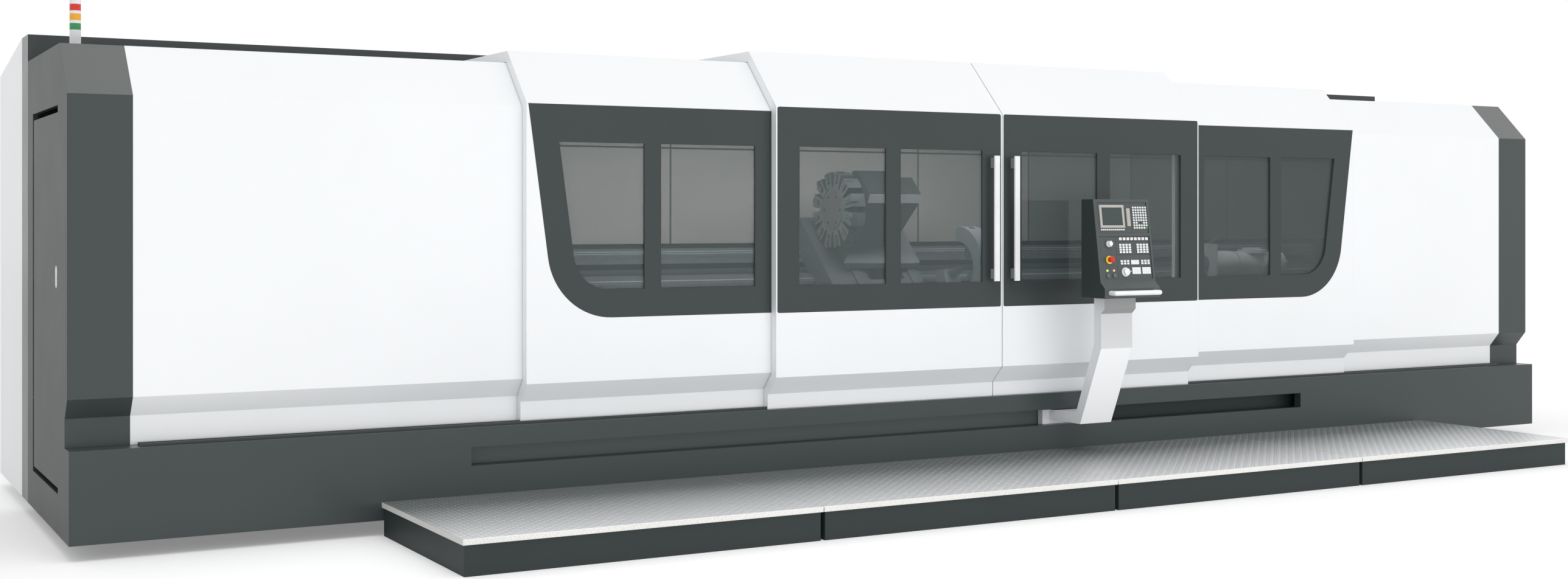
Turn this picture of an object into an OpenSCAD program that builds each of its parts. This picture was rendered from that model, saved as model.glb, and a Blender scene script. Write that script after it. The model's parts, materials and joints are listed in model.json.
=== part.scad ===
// Long CNC turning lathe with a slant bed, sliding guard doors and an operator platform.
// Millimetres, +Z up. X runs along the spindle from the left end, Y runs away from the operator.
// The whole machine is placed with the middle of its footprint at the origin, floor at Z = 0.

/* [Base] */
// Gap between the floor and the underside of the base
floor_gap = 80; // [60:5:120]
// Height of the base casing
base_h = 450; // [440:5:470]
// Depth of the base casing, front to back
base_d = 1532; // [1525:1:1560]
// Thickness of the front apron
apron_t = 60; // [50:1:70]
// Thickness of the base floor plate
floor_t = 30; // [20:1:40]
// Thickness of the deck that carries the doors
deck_t = 30; // [20:1:40]
// Depth of that deck
deck_d = 200; // [190:1:220]
// Left end of the slot that the control arm runs in
slot_x = 1995; // [1955:10:2055]
// Length of the slot
slot_l = 5995; // [5955:10:6055]
// Height of the slot
slot_h = 98; // [90:1:100]
// Lower edge of the slot above the base underside
slot_rise = 248; // [244:1:252]

/* [Covers and doors] */
// Width of the dark end caps
cap_w = 300; // [295:1:305]
// Width of the left fixed cover, as seen
left_cover_w = 2003; // [1990:1:2015]
// Width of the right fixed cover, as seen
right_cover_w = 1587; // [1575:1:1600]
// Width of one middle door
inner_w = 1600; // [1590:1:1620]
// Width of one outer door, as seen
outer_w = 1500; // [1490:1:1510]
// How far an outer door reaches under its neighbour
tuck = 150; // [100:1:160]
// Thickness of every folded cover and door
sheet_t = 30; // [24:1:32]
// Front face of the fixed covers, back from the base front
cover_y = 60; // [60:1:70]
// How far each door layer stands in front of the one behind it
front_step = 60; // [56:1:64]
// Foot of the fixed covers, back from the base front
foot_y = 140; // [138:1:145]
// Step of each layer at the foot
foot_step = 50; // [46:1:50]
// Height above the deck where the lower bevel starts
bevel_rise = 142; // [130:1:150]
// Height of the lower bevel
bevel_h = 98; // [90:1:110]
// Height above the deck of the upper fold
fold_rise = 1705; // [1695:1:1715]
// Depth of the upper slope
slope_d = 248; // [240:1:256]
// Height of the upper slope
slope_h = 260; // [255:1:265]
// Step of each layer at the roof
roof_step = 63; // [61:1:66]
// Running gap of doors, slides and guides
run_gap = 0.3; // [0.3:0.05:0.5]

/* [Windows] */
// Thickness of the dark window frame
frame_t = 14; // [12:1:16]
// Thickness of the window pane
pane_t = 8; // [6:1:10]
// Lower edge of the dark frame above the deck
panel_rise = 561; // [550:1:575]
// Lower edge of the windows above the deck
window_rise = 716; // [700:1:730]
// Height of the windows
window_h = 806; // [790:1:815]
// Lean of the outer slanted edge, width per height
lean = 0.136; // [0.12:0.002:0.15]
// Radius of the large rounded corner of the frame
panel_r = 380; // [360:5:400]
// Radius of the large rounded corner of the window
window_r = 210; // [190:5:215]
// Size of the door handle bar across
handle_w = 37; // [34:1:42]
// Length of the door handle bar
handle_l = 770; // [700:10:800]
// Gap behind the door handle bar
handle_gap = 44; // [42:1:50]

/* [Cabinet] */
// Back of the rear cabinet, from the base front
cabinet_y = 2864; // [2800:10:2950]
// Height of the rear cabinet above the floor
cabinet_z = 2645; // [2640:5:2680]
// Depth of its dark front frame
frame_d = 257; // [240:1:270]
// Drop of its roof towards the back
roof_drop = 144; // [120:2:160]
// Thickness of the cabinet walls
wall_t = 20; // [16:1:24]

/* [Side and rear doors] */
// Height of the side door leaf
side_leaf_h = 1852; // [1800:1:1870]
// Width of the side door opening
side_open_w = 950; // [900:10:980]
// Thickness of a hinged leaf
leaf_t = 22; // [18:1:24]
// Radius of a hinge pin
pin_r = 5; // [4:0.5:6]
// Running clearance of a round fit, on the radius
fit = 0.05; // [0.02:0.01:0.1]

/* [Bed and spindle] */
// Spindle axis, back from the base front
axis_y = 670; // [660:5:680]
// Spindle axis above the floor
axis_z = 1312; // [1300:2:1320]
// Spindle axis above the slanted bed face
swing = 450; // [446:1:454]
// Left end of the bed
bed_x = 500; // [450:10:550]
// Free length between the right end of the bed and the end of the base
bed_end = 890; // [850:10:950]
// Height of the saddle ways above the bed face
way_h = 30; // [25:1:35]
// Width of the saddle ways
way_w = 65; // [60:1:70]
// Height of the tailstock ways
rail_h = 20; // [16:1:24]
// Radius of the chuck
chuck_r = 250; // [230:5:255]
// Length of the chuck
chuck_l = 160; // [150:1:170]
// Radius of the bore through the chuck
bar_r = 52; // [45:1:60]
// Radius of the feed screw
screw_r = 30; // [26:1:32]

/* [Turret and saddle] */
// Left side of the saddle
saddle_x = 4788; // [4773:5:4793]
// Width of the saddle
saddle_w = 720; // [710:2:722]
// Top of the saddle above the bed face
saddle_n = 170; // [165:1:172]
// Height of the cross slide guide rails
cross_rail_h = 15; // [12:1:16]
// Thickness of the cross slide
cross_t = 50; // [46:1:52]
// Distance of the turret axis up the slope from the spindle
turret_s = 535; // [530:1:545]
// Radius of the turret disc
disc_r = 250; // [245:1:252]
// Thickness of the turret disc
disc_t = 103; // [98:1:106]
// Number of tool stations
stations = 12; // [10:1:12]

/* [Tailstock and steady] */
// Front of the tailstock flange
tail_x = 7718; // [7700:2:7740]
// Radius of the tailstock barrel
barrel_r = 88; // [84:1:88]
// Radius of the quill
quill_r = 60; // [54:1:62]
// Left side of the steady rest
steady_x = 5583; // [5578:1:5593]
// Width of the steady rest frame
steady_w = 120; // [110:1:124]
// Outer radius of the steady rest
steady_r = 270; // [264:1:272]
// Inner radius of the steady rest
throat_r = 170; // [160:1:175]

/* [Control] */
// Left side of the control arm
arm_x = 5860; // [5850:1:5870]
// Width of the control arm
arm_w = 245; // [230:1:250]
// Width of the control pendant
pendant_w = 431; // [420:1:440]
// Height of the control pendant
pendant_h = 599; // [590:1:610]
// Underside of the pendant above the floor
pendant_z = 1153; // [1150:1:1160]
// Radius of the swivel pin
swivel_r = 30; // [26:1:34]
// Travel of a push button
button_travel = 4; // [3:0.5:5]

/* [Platform and light] */
// Left end of the operator platform
platform_x = 1509; // [1480:1:1520]
// Length of one platform section
section_l = 1913; // [1900:1:1930]
// Number of platform sections
sections = 4; // [3:1:4]
// Depth of the platform
platform_d = 1240; // [1200:5:1300]
// Height of the platform
platform_h = 175; // [170:1:190]
// Thickness of the tread plate
tread_t = 28; // [22:1:32]
// Radius of the signal light
lamp_r = 28; // [25:1:32]
// Height of one signal lens
lens_h = 34; // [30:1:38]

/* [Hidden] */
$fn = 48;

dark = "darkslategray";
white = "white";
iron = "slategray";
steel = "silver";

deck_z = floor_gap + base_h;
slot_z = floor_gap + slot_rise;
back_y = base_d;
roof_z = deck_z + fold_rise + slope_h;
outer_a = inner_w + outer_w;
base_l = 2 * (cap_w + outer_a) + left_cover_w + right_cover_w;
seam_x = cap_w + left_cover_w + outer_a;
bed_l = base_l - bed_x - bed_end;
left_end_a = seam_x - cap_w;
right_end_a = base_l - cap_w - seam_x;
cabinet_top = cabinet_z;
middle_y = (cabinet_y - platform_d) / 2;

// Foot of the normal from the spindle axis to the slanted bed face
foot_point_y = axis_y + swing * sin(45);
foot_point_z = axis_z - swing * cos(45);

// Puts the machine with the middle of its footprint at the origin
module place() translate([-base_l / 2, -middle_y, 0]) children();

// Extrudes a Y-Z outline along X from x0 over length l
module along_x(x0, l) translate([x0, 0, 0]) rotate([90, 0, 90]) linear_extrude(l) children();

// Extrudes an X-Z outline along Y from y0 over depth d
module along_y(y0, d) translate([0, y0 + d, 0]) rotate([90, 0, 0]) linear_extrude(d) children();

// Frame of the slanted bed: X, S up the slope, N square to the bed face
module slant() translate([0, foot_point_y, foot_point_z]) rotate([45, 0, 0]) children();

module slant_box(x, s, n) slant() translate([x[0], s[0], n[0]])
    cube([x[1] - x[0], s[1] - s[0], n[1] - n[0]]);

module slab(x, y, z) translate([x[0], y[0], z[0]]) cube([x[1] - x[0], y[1] - y[0], z[1] - z[0]]);

// Cylinder along X from x0 over length l, at a place in Y and Z
module rod_x(x0, l, y, z, r) translate([x0, y, z]) rotate([0, 90, 0]) cylinder(h = l, r = r);

module axis_rod(x0, l, r) rod_x(x0, l, axis_y, axis_z, r);

module axis_cone(x0, l, r0, r1) translate([x0, axis_y, axis_z]) rotate([0, 90, 0])
    cylinder(h = l, r1 = r0, r2 = r1);

// One half of the guard, A measured outwards from the middle seam: k = -1 left, 1 right
module half(k) translate([seam_x, 0, 0]) mirror([k < 0 ? 1 : 0, 0, 0]) children();

// Normal to the right of the way from point p to point q
function right_of(p, q) = [q[1] - p[1], p[0] - q[0]] / norm(q - p);

function mitre(p, m, n, t) = p + t * (m + n) / (1 + m * n);

// A path moved to its right by t, with mitred corners
function inset(path, t) = [for (i = [0 : len(path) - 1])
    i == 0 ? path[0] + t * right_of(path[0], path[1])
    : i == len(path) - 1 ? path[i] + t * right_of(path[i - 1], path[i])
    : mitre(path[i], right_of(path[i - 1], path[i]), right_of(path[i], path[i + 1]), t)];

function reversed(path) = [for (i = [len(path) - 1 : -1 : 0]) path[i]];

function band(path, t) = concat(path, reversed(inset(path, t)));

// Outside of a cover (layer 0), an outer door (1) or an inner door (2), from the deck to the back
bevel_low_drop = 28;
bevel_top_drop = 25;
fold_step = 23;
slope_shift = 17;
function hood(k, z0, y1) = [
    [foot_y - k * foot_step, z0],
    [foot_y - k * foot_step, deck_z + bevel_rise - k * bevel_low_drop],
    [cover_y - k * front_step, deck_z + bevel_rise + bevel_h - k * bevel_top_drop],
    [cover_y - k * front_step, deck_z + fold_rise + k * fold_step],
    [cover_y + slope_d - k * slope_shift, roof_z + k * roof_step],
    [y1, roof_z + k * roof_step]];

// Rounded corner at the foot of a slanted edge, as points in A and Z
lean_angle = atan(lean);
function slanted_outline(a0, a1, z0, z1, r) =
    let (corner = a1 - lean * (z1 - z0), run = r / tan((90 + lean_angle) / 2))
    concat([[a0, z0]],
        [for (i = [0 : 16]) let (t = -90 + i * (90 - lean_angle) / 16)
            [corner - run + r * cos(t), z0 + r + r * sin(t)]],
        [[a1, z1], [a0, z1]]);

function rounded_outline(a0, a1, z0, z1, r) =
    [for (c = [[a0 + r, z0 + r, 180], [a1 - r, z0 + r, 270], [a1 - r, z1 - r, 0],
        [a0 + r, z1 - r, 90]], i = [0 : 6])
        [c[0] + r * cos(c[2] + 15 * i), c[1] + r * sin(c[2] + 15 * i)]];

/* Base */

rail_size = 20;
side_open_y = back_y - 212 - side_open_w;
side_open_z = floor_gap + 199;
side_leaf_z = side_open_z + 29;
side_open_h = side_leaf_h + 64;

module side_opening() slab([-1, end_t], [side_open_y, side_open_y + side_open_w],
    [side_open_z, side_open_z + side_open_h]);

pan_t = 10;
pan_y = 300;
pan_z = 330;
pan_end = 595;
end_t = 40;
rear_t = 30;

// Channel that closes the run of the arm's carriage behind the slot
channel_x = [slot_x - 90, slot_x + slot_l + 100];
channel_t = 6;
channel_d = 64;
channel_rise = 50;

module base_casing() color(dark) place() {
    difference() {
        union() {
            slab([0, base_l], [0, apron_t], [floor_gap, deck_z]);
            slab([0, base_l], [0, back_y], [floor_gap, floor_gap + floor_t]);
            slab([0, base_l], [0, deck_d], [deck_z - deck_t, deck_z]);
            slab([0, base_l], [back_y - rear_t, back_y], [floor_gap, deck_z]);
            for (x = [0, base_l - end_t]) slab([x, x + end_t], [0, back_y], [floor_gap, deck_z]);
            along_x(end_t, base_l - 2 * end_t) polygon([[deck_d - pan_t, deck_z],
                [deck_d - pan_t, deck_z - deck_t], [pan_y, pan_z], [pan_end, pan_z],
                [pan_end, pan_z + pan_t], [pan_y + pan_t / 2, pan_z + pan_t],
                [deck_d, deck_z - deck_t], [deck_d, deck_z]]);
        }
        slab([slot_x, slot_x + slot_l], [-1, apron_t + 1], [slot_z, slot_z + slot_h]);
        side_opening();
    }
    for (z = [slot_z - 12 - rail_size, slot_z + slot_h + 12])
        slab(channel_x, [apron_t, apron_t + rail_size], [z, z + rail_size]);
    for (z = [slot_z - channel_rise - channel_t, slot_z + slot_h + channel_rise])
        slab(channel_x, [apron_t - 1, apron_t + channel_d], [z, z + channel_t]);
    slab(channel_x, [apron_t + channel_d - channel_t, apron_t + channel_d],
        [slot_z - channel_rise - 1, slot_z + slot_h + channel_rise + 1]);
}

pad_r = 90;
pad_t = 18;
collar_r = 45;
collar_t = 14;
stem_r = 24;
foot_in = 300;
feet_per_row = 7;
front_feet_y = 570;
module levelling_feet() color(iron) place() {
    pitch = (base_l - 2 * foot_in) / (feet_per_row - 1);
    for (i = [0 : feet_per_row - 1], y = [front_feet_y, back_y - 110, cabinet_y - 110])
        translate([foot_in + i * pitch, y, 0]) {
            cylinder(h = pad_t, r = pad_r);
            cylinder(h = pad_t + collar_t, r = collar_r);
            cylinder(h = floor_gap, r = stem_r);
        }
}

/* Bed: S and N of the slanted face */

bed_top_s = 620;
bed_low_s = -480;
upper_way_s = 536;
lower_way_s = 288;
tail_way_s = [-420, 0];
tail_way_w = 60;
trough_s = [395, 495];
trough_n = -90;

module bed() color(iron) place() {
    top = [foot_point_y + bed_top_s * cos(45), foot_point_z + bed_top_s * sin(45)];
    low = [foot_point_y + bed_low_s * cos(45), foot_point_z + bed_low_s * sin(45)];
    bottom = floor_gap + floor_t;
    difference() {
        along_x(bed_x, bed_l) polygon([[low[0], bottom], [low[0], low[1]], top, [top[0], bottom]]);
        slant_box([bed_x - 1, bed_x + bed_l + 1], trough_s, [trough_n, 1]);
        for (i = [0 : 7]) translate([bed_x + 400 + i * (bed_l - 800) / 7, 0, 420])
            rotate([90, 0, 0]) translate([0, 0, -low[0] - 260]) cylinder(h = 261, r = 150);
    }
    for (s = [upper_way_s, lower_way_s])
        slant_box([bed_x, bed_x + bed_l], [s, s + way_w], [0, way_h]);
    for (s = tail_way_s)
        slant_box([nose_x, bed_x + bed_l], [s, s + tail_way_w], [0, rail_h]);
}

screw_s = (trough_s[0] + trough_s[1]) / 2;
screw_n = trough_n + 50;
block_l = 80;
module feed_screw() color(steel) place() slant() {
    translate([bed_x + block_l, screw_s, screw_n]) rotate([0, 90, 0])
        cylinder(h = bed_l - 2 * block_l, r = screw_r);
    for (x = [bed_x, bed_x + bed_l - block_l])
        translate([x, trough_s[0] + 2, trough_n])
            cube([block_l, trough_s[1] - trough_s[0] - 4, 85]);
}

/* Fixed covers */

module shell(k, a0, a1, z0, y1) along_x(a0, a1 - a0) polygon(band(hood(k, z0, y1), sheet_t));

module end_cap(x0, wall_x, open) difference() {
    union() {
        shell(0, x0, x0 + cap_w, deck_z, back_y);
        along_x(wall_x, sheet_t) polygon(concat(hood(0, deck_z, back_y), [[back_y, deck_z]]));
    }
    if (open) side_opening();
}

module left_end_cap() color(dark) place() {
    end_cap(0, 0, true);
    side_hinge_place() hinge_lugs(side_leaf_h);
}

module right_end_cap() color(dark) place()
    end_cap(base_l - cap_w, base_l - sheet_t, false);

cover_tuck = 45;
module left_cover() color(white) place() half(-1)
    shell(0, outer_a - cover_tuck, left_end_a, deck_z, back_y);

module right_cover() color(white) place() half(1)
    shell(0, outer_a - cover_tuck, right_end_a, deck_z, back_y);

/* Cabinet */

module cabinet_frame() color(dark) place() {
    slab([0, base_l], [back_y, back_y + wall_t], [deck_z, cabinet_top]);
    slab([0, base_l], [back_y, back_y + frame_d], [cabinet_top - wall_t, cabinet_top]);
    for (x = [0, base_l - wall_t])
        slab([x, x + wall_t], [back_y, back_y + frame_d], [floor_gap, cabinet_top]);
    slab([0, base_l], [back_y, back_y + frame_d], [floor_gap, floor_gap + wall_t]);
}

rear_hinge_x = 8400;
rear_leaf_w = 880;
rear_leaf_h = 1894;
rear_leaf_z = 253;
vent_x = 900;
vent_z = 500;
vent_w = 500;
vent_h = 18;
vent_pitch = 60;
vent_step = 2400;

module cabinet_roof() polygon([[back_y + frame_d, cabinet_top - wall_t],
    [back_y + frame_d, cabinet_top], [cabinet_y, cabinet_top - roof_drop],
    [cabinet_y, cabinet_top - roof_drop - wall_t]]);

module rear_cabinet() color(white) place() {
    difference() {
        union() {
            for (x = [0, base_l - wall_t]) along_x(x, wall_t) polygon([
                [back_y + frame_d, floor_gap], [back_y + frame_d, cabinet_top],
                [cabinet_y, cabinet_top - roof_drop], [cabinet_y, floor_gap]]);
            along_x(0, base_l) cabinet_roof();
            slab([0, base_l], [cabinet_y - wall_t - 10, cabinet_y],
                [floor_gap, cabinet_top - roof_drop]);
            slab([0, base_l], [back_y + frame_d, cabinet_y], [floor_gap, floor_gap + wall_t]);
        }
        slab([rear_hinge_x - rear_leaf_w - 3, rear_hinge_x + hinge_jamb],
            [cabinet_y - 60, cabinet_y + 1], [rear_leaf_z - 3, rear_leaf_z + rear_leaf_h + 3]);
        for (j = [0 : 2], i = [0 : 7])
            slab([vent_x + j * vent_step, vent_x + j * vent_step + vent_w],
                [cabinet_y - 60, cabinet_y + 1],
                [vent_z + i * vent_pitch, vent_z + vent_h + i * vent_pitch]);
    }
    rear_hinge_place() hinge_lugs(rear_leaf_h);
}

/* Hinged leaves: hinge axis at the origin, width along X, outside towards -Y */

hinge_jamb = 15;
hinge_in = 12;
knuckle_r = 9;
knuckle_h = 60;
lug_h = 8;
leaf_edge = 11;
rim_w = 40;
skin_t = 4;
function knuckle_z(h) = [0.2 * h, 0.55 * h, 0.9 * h];

module hinge_lugs(h) for (z = knuckle_z(h)) translate([0, 0, z - lug_h - 1]) {
    cylinder(h = lug_h, r = knuckle_r);
    translate([-hinge_jamb - 1, -knuckle_r, 0]) cube([hinge_jamb + 1, 2 * knuckle_r, lug_h]);
    cylinder(h = lug_h + knuckle_h, r = pin_r);
}

pull_w = 60;
pull_h = 112;
pull_z = 1039;
module hinged_leaf(w, h, pull) {
    difference() {
        union() {
            translate([leaf_edge, 2 - hinge_in, 0]) cube([w - leaf_edge, leaf_t, h]);
            for (z = knuckle_z(h)) translate([0, 0, z - 1 + run_gap]) {
                cylinder(h = knuckle_h, r = knuckle_r);
                translate([0, -4, 0]) cube([leaf_edge + 1, 8, knuckle_h]);
            }
        }
        for (z = knuckle_z(h)) translate([0, 0, z - 1.5])
            cylinder(h = knuckle_h + 3, r = pin_r + fit);
        translate([leaf_edge + rim_w, skin_t + 2 - hinge_in, rim_w])
            cube([w - leaf_edge - 2 * rim_w, leaf_t, h - 2 * rim_w]);
        latch_place(w, pull) latch_outline(0, 2 - hinge_in - 1, 13);
    }
}

module latch_place(w, z) translate([w - 75, 0, z]) children();

// Upright oblong for the latch cup, from y0 over depth d
module latch_outline(grow, y0, d) translate([0, y0 + d, 0]) rotate([90, 0, 0]) linear_extrude(d) {
    translate([0, (pull_h - pull_w) / 2]) circle(r = pull_w / 2 + grow);
    translate([0, -(pull_h - pull_w) / 2]) circle(r = pull_w / 2 + grow);
    square([pull_w + 2 * grow, pull_h - pull_w], center = true);
}

side_axis_y = side_open_y + side_open_w - hinge_jamb;
module side_hinge_place() translate([hinge_in, side_axis_y, side_leaf_z]) rotate([0, 0, -90])
    children();
module rear_hinge_place() translate([rear_hinge_x, cabinet_y - hinge_in, rear_leaf_z])
    rotate([0, 0, 180]) children();

side_leaf_w = side_open_w - hinge_jamb - 3;
module side_door() color(dark) place() side_hinge_place()
    hinged_leaf(side_leaf_w, side_leaf_h, pull_z);

// Flush pull: an oblong cup with a finger pocket
cup_t = 12;
module pull_cup(grow) difference() {
    latch_outline(grow, 2 - hinge_in, cup_t);
    translate([-14, 1 - hinge_in, -34]) cube([28, 8, 44]);
}

module side_door_latch() color(steel) place() side_hinge_place() latch_place(side_leaf_w, pull_z)
    pull_cup(-0.5);

module cabinet_door() color(white) place() rear_hinge_place() {
    hinged_leaf(rear_leaf_w, rear_leaf_h, pull_z);
    latch_place(rear_leaf_w, pull_z) pull_cup(1);
}

/* Inner back wall, in panels with grooved joints */

wall_y = 1500;
wall_z = 1470;
wall_top = 2455;
panel_w = 967;
first_joint = 990;
groove_w = 11;
groove_t = 6;
wall_seam_z = 2088;
module back_wall() color("gray") place() difference() {
    union() {
        slab([cap_w + 30, base_l - cap_w - 30], [wall_y, back_y], [wall_z, wall_top]);
        slab([first_joint + 6 * panel_w, first_joint + 7 * panel_w - 10],
            [wall_y - 6, wall_y], [wall_z, wall_z + 295]);
    }
    for (i = [0 : 8]) slab([first_joint + i * panel_w - groove_w, first_joint + i * panel_w],
        [wall_y - 1, wall_y + groove_t], [wall_z - 1, wall_top + 1]);
    slab([cap_w, base_l - cap_w], [wall_y - 1, wall_y + groove_t],
        [wall_seam_z, wall_seam_z + groove_w]);
}

/* Headstock and chuck */

head_x = 900;
nose_x = 2300;
motor_x = 420;
nose_r = 140;
spigot_l = 100;
bearing_l = 120;
bearing_r = 215;
motor_r = 225;
seat = 0.1;
head_low = 330;
head_reach = 640;
head_back = 60;
head_half = 350;
head_bevel = 100;
module headstock() color(iron) place() difference() {
    front = foot_point_y - head_reach;
    back = foot_point_y + head_back;
    union() {
        along_x(head_x, nose_x - bearing_l - head_x) polygon([
            [foot_point_y - head_low, foot_point_z - head_low + seat],
            [front, axis_z - head_half], [front, axis_z + head_half - head_bevel],
            [front + head_bevel, axis_z + head_half], [back - head_bevel, axis_z + head_half],
            [back, axis_z + head_half - head_bevel], [back, foot_point_z + head_back + seat]]);
        axis_rod(nose_x - bearing_l - 1, bearing_l + 1, bearing_r);
        axis_rod(motor_x, head_x - motor_x + 10, motor_r);
        axis_rod(motor_x - 60, 70, motor_r - 75);
    }
    axis_rod(nose_x - spigot_l - 1, spigot_l + 2, nose_r + fit);
}

chuck_x = nose_x + 20;
jaw_w = 60;
jaw_base_h = 28;
jaw_angles = [90, 210, 330];
module at_jaw(angle) translate([0, axis_y, axis_z]) rotate([angle, 0, 0]) children();

module chuck() color(steel) place() difference() {
    union() {
        axis_rod(chuck_x, chuck_l, chuck_r);
        axis_rod(nose_x - spigot_l, spigot_l + 22, nose_r);
    }
    axis_rod(nose_x - spigot_l - 1, chuck_l + spigot_l + 30, bar_r);
    for (angle = jaw_angles) at_jaw(angle)
        translate([chuck_x + chuck_l - jaw_base_h - run_gap, 40, -jaw_w / 2 - run_gap])
            cube([jaw_base_h + 2, chuck_r, jaw_w + 2 * run_gap]);
}

jaw_r0 = 75;
module jaw(angle) color(iron) place() at_jaw(angle)
    translate([chuck_x + chuck_l - jaw_base_h, jaw_r0, -jaw_w / 2]) {
        cube([jaw_base_h, 140, jaw_w]);
        translate([jaw_base_h - 1, 0, 0]) cube([26, 115, jaw_w]);
        translate([jaw_base_h + 24, 0, 0]) cube([26, 75, jaw_w]);
        translate([jaw_base_h + 49, 0, 0]) cube([26, 35, jaw_w]);
    }
module chuck_jaw_1() jaw(jaw_angles[0]);
module chuck_jaw_2() jaw(jaw_angles[1]);
module chuck_jaw_3() jaw(jaw_angles[2]);

/* Sliding doors */

strip_w = 8;
strip_h = 14;
leaf_z = deck_z + run_gap;
leaf_back = back_y - 4;
return_back = back_y - 72;
return_gap = 4;
return_t = 20;
centre_gap = 3;
upper_rail_y = back_y - 62;

function strip_y(k) = foot_y - k * foot_step + sheet_t / 2;

module door_guide_rails() color(dark) place() {
    for (k = [1, 2]) {
        slab([cap_w + 30, base_l - cap_w - 30], [strip_y(k) - strip_w / 2, strip_y(k) + strip_w / 2],
            [deck_z, deck_z + strip_h]);
        slab([cap_w + 30, base_l - cap_w - 30], [upper_rail_y, back_y],
            [roof_z + (k - 1) * roof_step + 4, roof_z + k * roof_step - sheet_t - run_gap]);
    }
}

// Plate across the end of a door that closes the step down to the layer behind it
module end_return(k, a0) along_x(a0, return_t) polygon(concat(hood(k, leaf_z, return_back),
    reversed(inset(hood(k - 1, leaf_z, return_back), -return_gap))));

module guide_groove(k) slab([-10, outer_a + 10],
    [strip_y(k) - strip_w / 2 - 1, strip_y(k) + strip_w / 2 + 1],
    [deck_z - 1, deck_z + strip_h + 2]);

function door_front(k) = cover_y - k * front_step;
fold_z = deck_z + fold_rise;
panel_z = deck_z + panel_rise;
window_z = deck_z + window_rise;
opening_z = window_z - 70;
opening_top = window_z + window_h + 110;

outer_panel_a = [inner_w - 55, outer_a - 10];
outer_panel_top = fold_z + fold_step - 2;
outer_open_a = [inner_w + 45, outer_a - 85];
outer_windows = [1705, 2302, 2404, 2911];
inner_panel_a = [10, inner_w - 8];
inner_panel_top = fold_z + 2 * fold_step - 2;
inner_open_a = [70, inner_w - 70];
inner_windows = [149, 747, 852, 1447];
corner_r = 12;

module outer_panel(g) polygon(slanted_outline(outer_panel_a[0] + g, outer_panel_a[1] - g,
    panel_z + g, outer_panel_top - g, panel_r - g));
module outer_opening(g) polygon(slanted_outline(outer_open_a[0] + g, outer_open_a[1] - g,
    opening_z + g, opening_top - g, panel_r - 80 - g));
module inner_panel(g) polygon(rounded_outline(inner_panel_a[0] + g, inner_panel_a[1] - g,
    panel_z + g, inner_panel_top - g, corner_r));
module inner_opening(g) polygon(rounded_outline(inner_open_a[0] + g, inner_open_a[1] - g,
    opening_z + g, opening_top - g, corner_r));

module outer_door(k) color(white) place() half(k) difference() {
    union() {
        shell(1, inner_w - tuck, outer_a, leaf_z, leaf_back);
        end_return(1, outer_a - return_t);
    }
    guide_groove(1);
    along_y(door_front(1) - 1, frame_t + 1) outer_panel(0);
    along_y(door_front(1), 2 * sheet_t) outer_opening(0);
}

module inner_door(k) color(white) place() half(k) difference() {
    union() {
        shell(2, centre_gap, inner_w, leaf_z, leaf_back);
        end_return(2, inner_w - return_t);
        end_return(2, centre_gap);
    }
    guide_groove(2);
    along_y(door_front(2) - 1, frame_t + 1) inner_panel(0);
    along_y(door_front(2), 2 * sheet_t) inner_opening(0);
}

frame_gap = 0.5;
module outer_frame(k) color(dark) place() half(k) along_y(door_front(1), frame_t) difference() {
    outer_panel(frame_gap);
    polygon(rounded_outline(outer_windows[0], outer_windows[1], window_z,
        window_z + window_h, 3));
    polygon(slanted_outline(outer_windows[2], outer_windows[3], window_z,
        window_z + window_h, window_r));
}

module inner_frame(k) color(dark) place() half(k) along_y(door_front(2), frame_t) difference() {
    inner_panel(frame_gap);
    for (i = [0, 2]) polygon(rounded_outline(inner_windows[i], inner_windows[i + 1], window_z,
        window_z + window_h, 3));
}

module outer_pane(k) color("lightslategray", 0.5) place() half(k)
    along_y(door_front(1) + frame_t, pane_t) outer_opening(frame_gap);
module inner_pane(k) color("lightslategray", 0.5) place() half(k)
    along_y(door_front(2) + frame_t, pane_t) inner_opening(frame_gap);

module outer_door_left() outer_door(-1);
module outer_door_right() outer_door(1);
module inner_door_left() inner_door(-1);
module inner_door_right() inner_door(1);
module outer_frame_left() outer_frame(-1);
module outer_frame_right() outer_frame(1);
module inner_frame_left() inner_frame(-1);
module inner_frame_right() inner_frame(1);
module outer_pane_left() outer_pane(-1);
module outer_pane_right() outer_pane(1);
module inner_pane_left() inner_pane(-1);
module inner_pane_right() inner_pane(1);

handle_a = 58;
handle_z = window_z + 4;
handle_t = 12;
post_w = 24;
post_h = 63;
post_in = 12;
post_side = 6;
module door_handle(k) color(white) place() half(k) {
    y = door_front(2) - handle_gap;
    slab([handle_a, handle_a + handle_w], [y - handle_t, y], [handle_z, handle_z + handle_l]);
    for (z = [handle_z + post_in, handle_z + handle_l - post_in - post_h])
        slab([handle_a + post_side, handle_a + post_side + post_w], [y, door_front(2)], [z, z + post_h]);
}
module handle_left() door_handle(-1);
module handle_right() door_handle(1);

/* Saddle, cross slide and turret */

saddle_s = [105, 680];
saddle_top_s = 740;
rail_w = 70;
gib_w = 20;
cross_x = [saddle_x + 175, saddle_x + saddle_w - 5];
rail_x = [cross_x[0] + gib_w + run_gap, cross_x[1] - gib_w - run_gap - rail_w];
nut_s = [trough_s[0] + 5, trough_s[1] - 5];
strip_x = 70;
strip_n = 8;

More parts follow.
